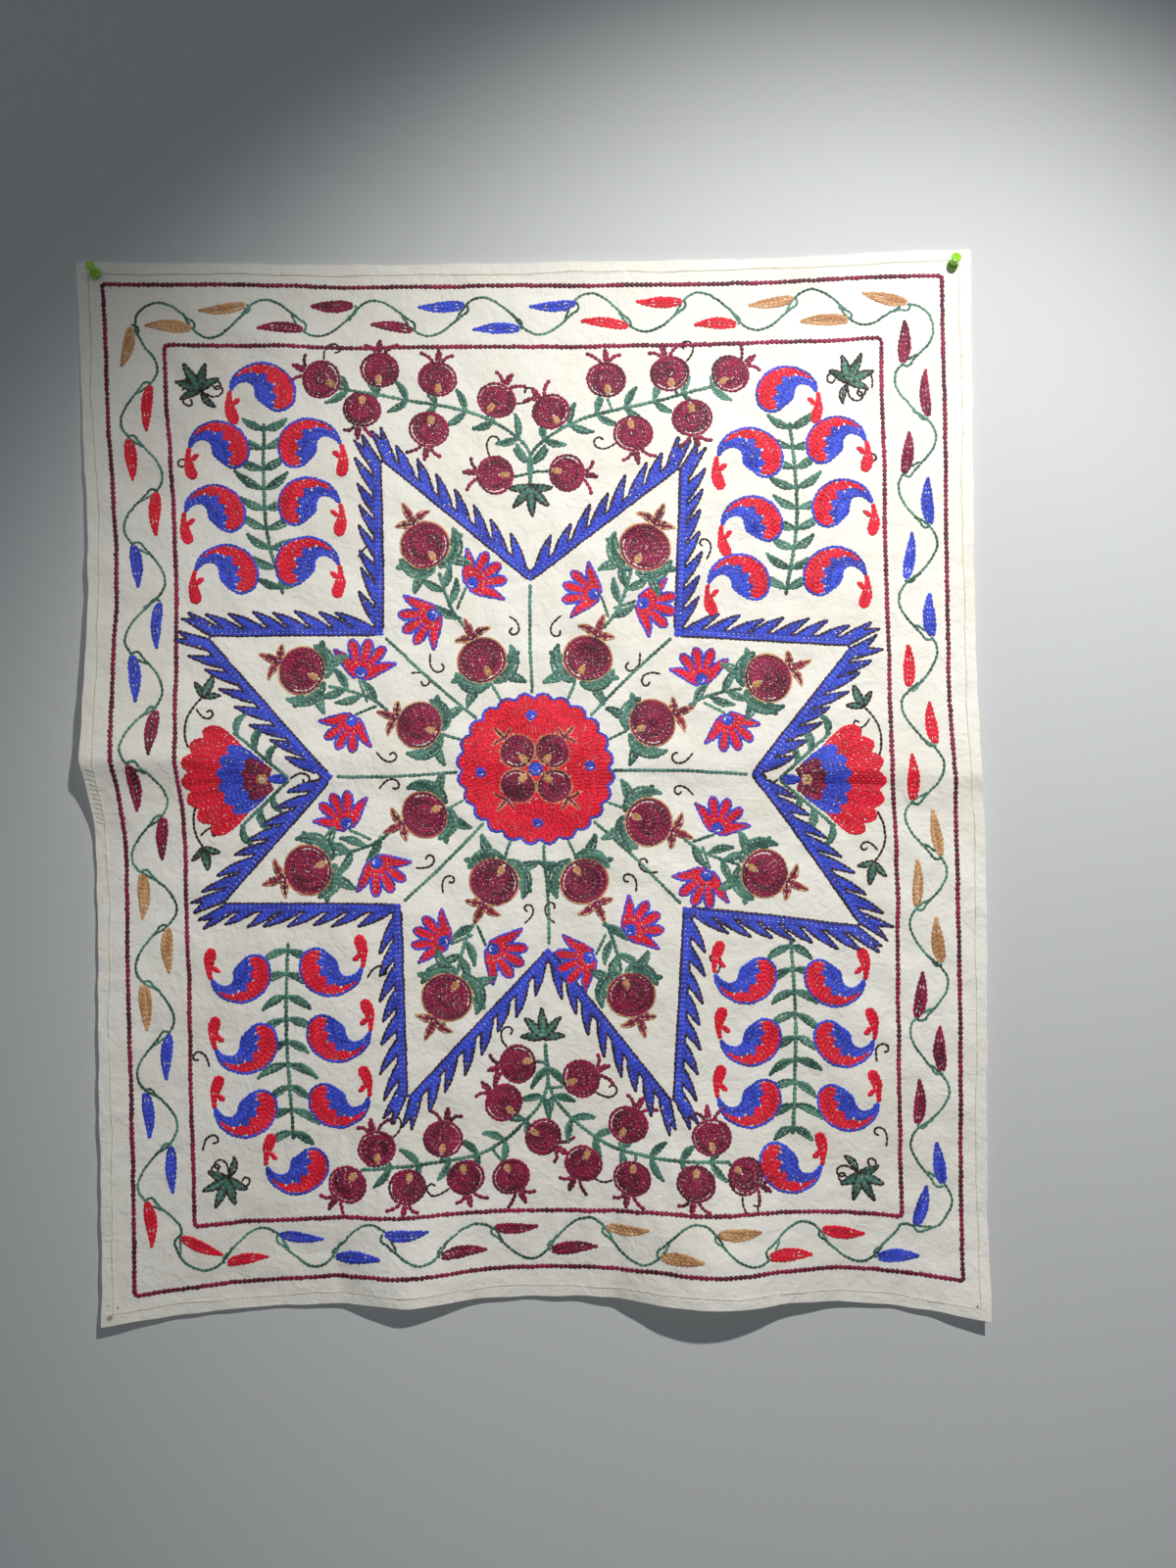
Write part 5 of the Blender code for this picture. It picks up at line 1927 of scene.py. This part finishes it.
@dataclass(frozen=True)
class HemSeam:
    """The machine seam that holds the hem, the slanting stitches that close it, and loose ends."""

    inset: float = 0.0102

    def rows(self) -> list[Row]:
        """Return the seam's rows."""
        e, rows = self.inset, []
        corners = [(-0.42 + e, -e), (0.42 - e, -e), (0.42 - e, -1 + e), (-0.42 + e, -1 + e)]
        for a, b in zip(corners, corners[1:] + corners[:1]):
            s = np.linspace(0, 1, 60)[:, None]
            line = np.array(a) + (np.array(b) - np.array(a)) * s
            stray = 0.0007 * np.sin(s * 31 + a[0] * 9) + 0.0004 * np.sin(s * 83)
            square = (1 if a[0] == b[0] else 0, 1 if a[1] == b[1] else 0)
            rows.append(Row(line + stray * square, Thread.SEWING, 0.36))
        for k in range(12):
            v = 0.478 + 0.0045 * k
            rows.append(Row(np.array([(-0.4165, -v), (-0.4095, -v - 0.003)]), Thread.SEWING, 0.34))
        for root, turn, long, wind in (((0.4145, -0.004), 50, 0.013, 70), ((0.4155, -0.010), 20, 0.011, -80),
                                       ((-0.4150, -0.006), 120, 0.012, -60),
                                       ((0.408, -0.003), 80, 0.009, -50)):
            path = curl_path(root, turn, long, wind)
            path = np.clip(path, (-0.4190, -0.999), (0.4190, -0.001))
            rows.append(Row(path, Thread.SEWING, 0.16))
        return rows


@dataclass(frozen=True)
class Stage:
    """The pale wall and floor, the lights and the camera."""

    wall: tuple[float, float, float] = (0.53, 0.545, 0.555)

    def plane(self, name: str, corners: Sequence[tuple[float, float, float]],
              see_through: bool) -> bpy.types.Object:
        """Return a pale matt plane; the wall is unseen from behind and lets the light behind it through."""
        material, t, shader = new_material(name)
        place = t.node("ShaderNodeTexCoord").outputs["Object"]
        paint = t.node("ShaderNodeTexNoise", {"Vector": place, "Scale": 160.0, "Detail": 3.0})
        tone = t.node("ShaderNodeMix", {0: paint.outputs["Fac"], 6: (*[c * 0.97 for c in self.wall], 1),
                                        7: (*self.wall, 1)}, data_type="RGBA")
        t.link(tone.outputs[2], shader.inputs["Base Color"])
        shader.inputs["Roughness"].default_value = 0.85
        bump = t.node("ShaderNodeBump", {"Strength": 0.15, "Distance": 0.0008,
                                         "Height": paint.outputs["Fac"]})
        t.link(bump.outputs[0], shader.inputs["Normal"])
        if see_through:
            clear = t.node("ShaderNodeBsdfTransparent")
            behind = t.math("MAXIMUM", t.node("ShaderNodeNewGeometry").outputs["Backfacing"],
                            t.node("ShaderNodeLightPath").outputs["Is Shadow Ray"])
            mix = t.node("ShaderNodeMixShader", {0: behind, 1: shader.outputs[0], 2: clear.outputs[0]})
            t.link(mix.outputs[0], material.node_tree.nodes["Material Output"].inputs[0])
        mesh = bpy.data.meshes.new(name)
        mesh.from_pydata(corners, [], [(0, 1, 2, 3)])
        mesh.materials.append(material)
        obj = link(name, mesh)
        return obj

    def light(self, name: str, kind: str, energy: float, at: tuple[float, float, float],
              aim: tuple[float, float, float], colour: tuple[float, float, float]) -> bpy.types.Light:
        """Add a light and return its data."""
        data = bpy.data.lights.new(name, kind)
        data.energy, data.color = energy, colour
        obj = bpy.data.objects.new(name, data)
        obj.location = at
        obj.rotation_euler = (Vector(aim) - Vector(at)).to_track_quat("-Z", "Y").to_euler()
        bpy.context.scene.collection.objects.link(obj)
        return data

    def build(self) -> None:
        """Set the stage."""
        wall = [(-4, 0.0006, -1.75), (4, 0.0006, -1.75), (4, 0.0006, 1.6), (-4, 0.0006, 1.6)]
        self.plane("wall", wall, True)
        self.plane("floor", [(-4, -4, -1.75), (4, -4, -1.75), (4, 4, -1.75), (-4, 4, -1.75)], False)
        spot = self.light("picture light", "SPOT", 104.0, (0.46, -1.22, 0.40), (0.30, 0, -0.56),
                          (1.0, 0.985, 0.96))
        spot.spot_size, spot.spot_blend, spot.shadow_soft_size = math.radians(70), 0.85, 0.026
        fill = self.light("room light", "AREA", 4.5, (-0.7, -2.2, 0.6), (0, 0, -0.5), (0.95, 0.98, 1.0))
        fill.size = 2.4
        back = self.light("light behind", "AREA", 34.0, (0.6, 2.2, 0.7), (0, 0, -0.5), (0.97, 0.98, 1.0))
        back.size = 2.0
        world = bpy.data.worlds.new("room")
        world.use_nodes = True
        world.node_tree.nodes["Background"].inputs[0].default_value = (0.80, 0.86, 0.92, 1)
        world.node_tree.nodes["Background"].inputs[1].default_value = 0.15
        bpy.context.scene.world = world
        data = bpy.data.cameras.new("camera")
        data.lens, data.sensor_width, data.clip_start = 26.9, 36.0, 0.01
        camera = bpy.data.objects.new("camera", data)
        camera.location = (0.053, -1.1, -0.496)
        camera.rotation_euler = (math.radians(90), math.radians(0.9), 0)
        bpy.context.scene.collection.objects.link(camera)
        bpy.context.scene.camera = camera
        bpy.context.scene.view_settings.view_transform = "Standard"


def add_stitching(cloth: Cloth, work: Embroidery) -> list[tuple[bpy.types.Object, str]]:
    """Return the stitched pieces, one for each thread, each with its slot."""
    stitcher = Stitcher(cloth)
    shape, tree = stitcher.template(), stitcher.tree()
    pieces: list[tuple[bpy.types.Object, str]] = []
    for thread in Thread:
        material = thread.value.make()
        if thread is Thread.SEWING:
            rows = HemSeam().rows()
            seam = stitcher.build("hem_seam", rows, shape, tree, material, 2.6 * MM)
            pieces.append((seam, "sewing_thread"))
            continue
        groups = {"centre": [], "outer": []}
        for zone, rows in work.rows.items():
            where = "centre" if zone in ("star", "rosette", "band") else "outer"
            groups[where] += [row for row in rows if row.thread is thread]
        for where, rows in groups.items():
            if rows:
                name = f"{thread.name.lower()}_stitches_{where}"
                pieces.append((stitcher.build(name, rows, shape, tree, material), thread.value.name))
                LOG.info("laid %s: %d rows, %d triangles", name, len(rows), len(pieces[-1][0].data.polygons))
    bpy.data.objects.remove(shape)
    return pieces


def main() -> None:
    """Build every piece in order."""
    logging.basicConfig(level=logging.INFO, format="%(name)s: %(message)s")
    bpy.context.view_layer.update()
    effects, drape = Effects(), Drape()
    cloth = Cloth(drape)
    panel = cloth.build(CottonFinish().make(effects, cloth.cloth_map))
    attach(panel, "root")
    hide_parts("suzani_panel")
    LOG.info("hung the cotton panel: %d faces", len(panel.data.polygons))
    stitched = add_stitching(cloth, embroider())
    for obj, slot in stitched:
        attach(obj, "root")
        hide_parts("suzani_panel")
    plastic, steel = PlasticFinish().make(effects), SteelFinish().make(effects)
    for pin in drape.pins:
        for obj, node, slot in PushPin(pin, drape).build(plastic, steel):
            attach(obj, "root")
            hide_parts(node)
        LOG.info("pushed in the %s pin", pin.side)
    Stage().build()


if __name__ == "__main__":
    main()
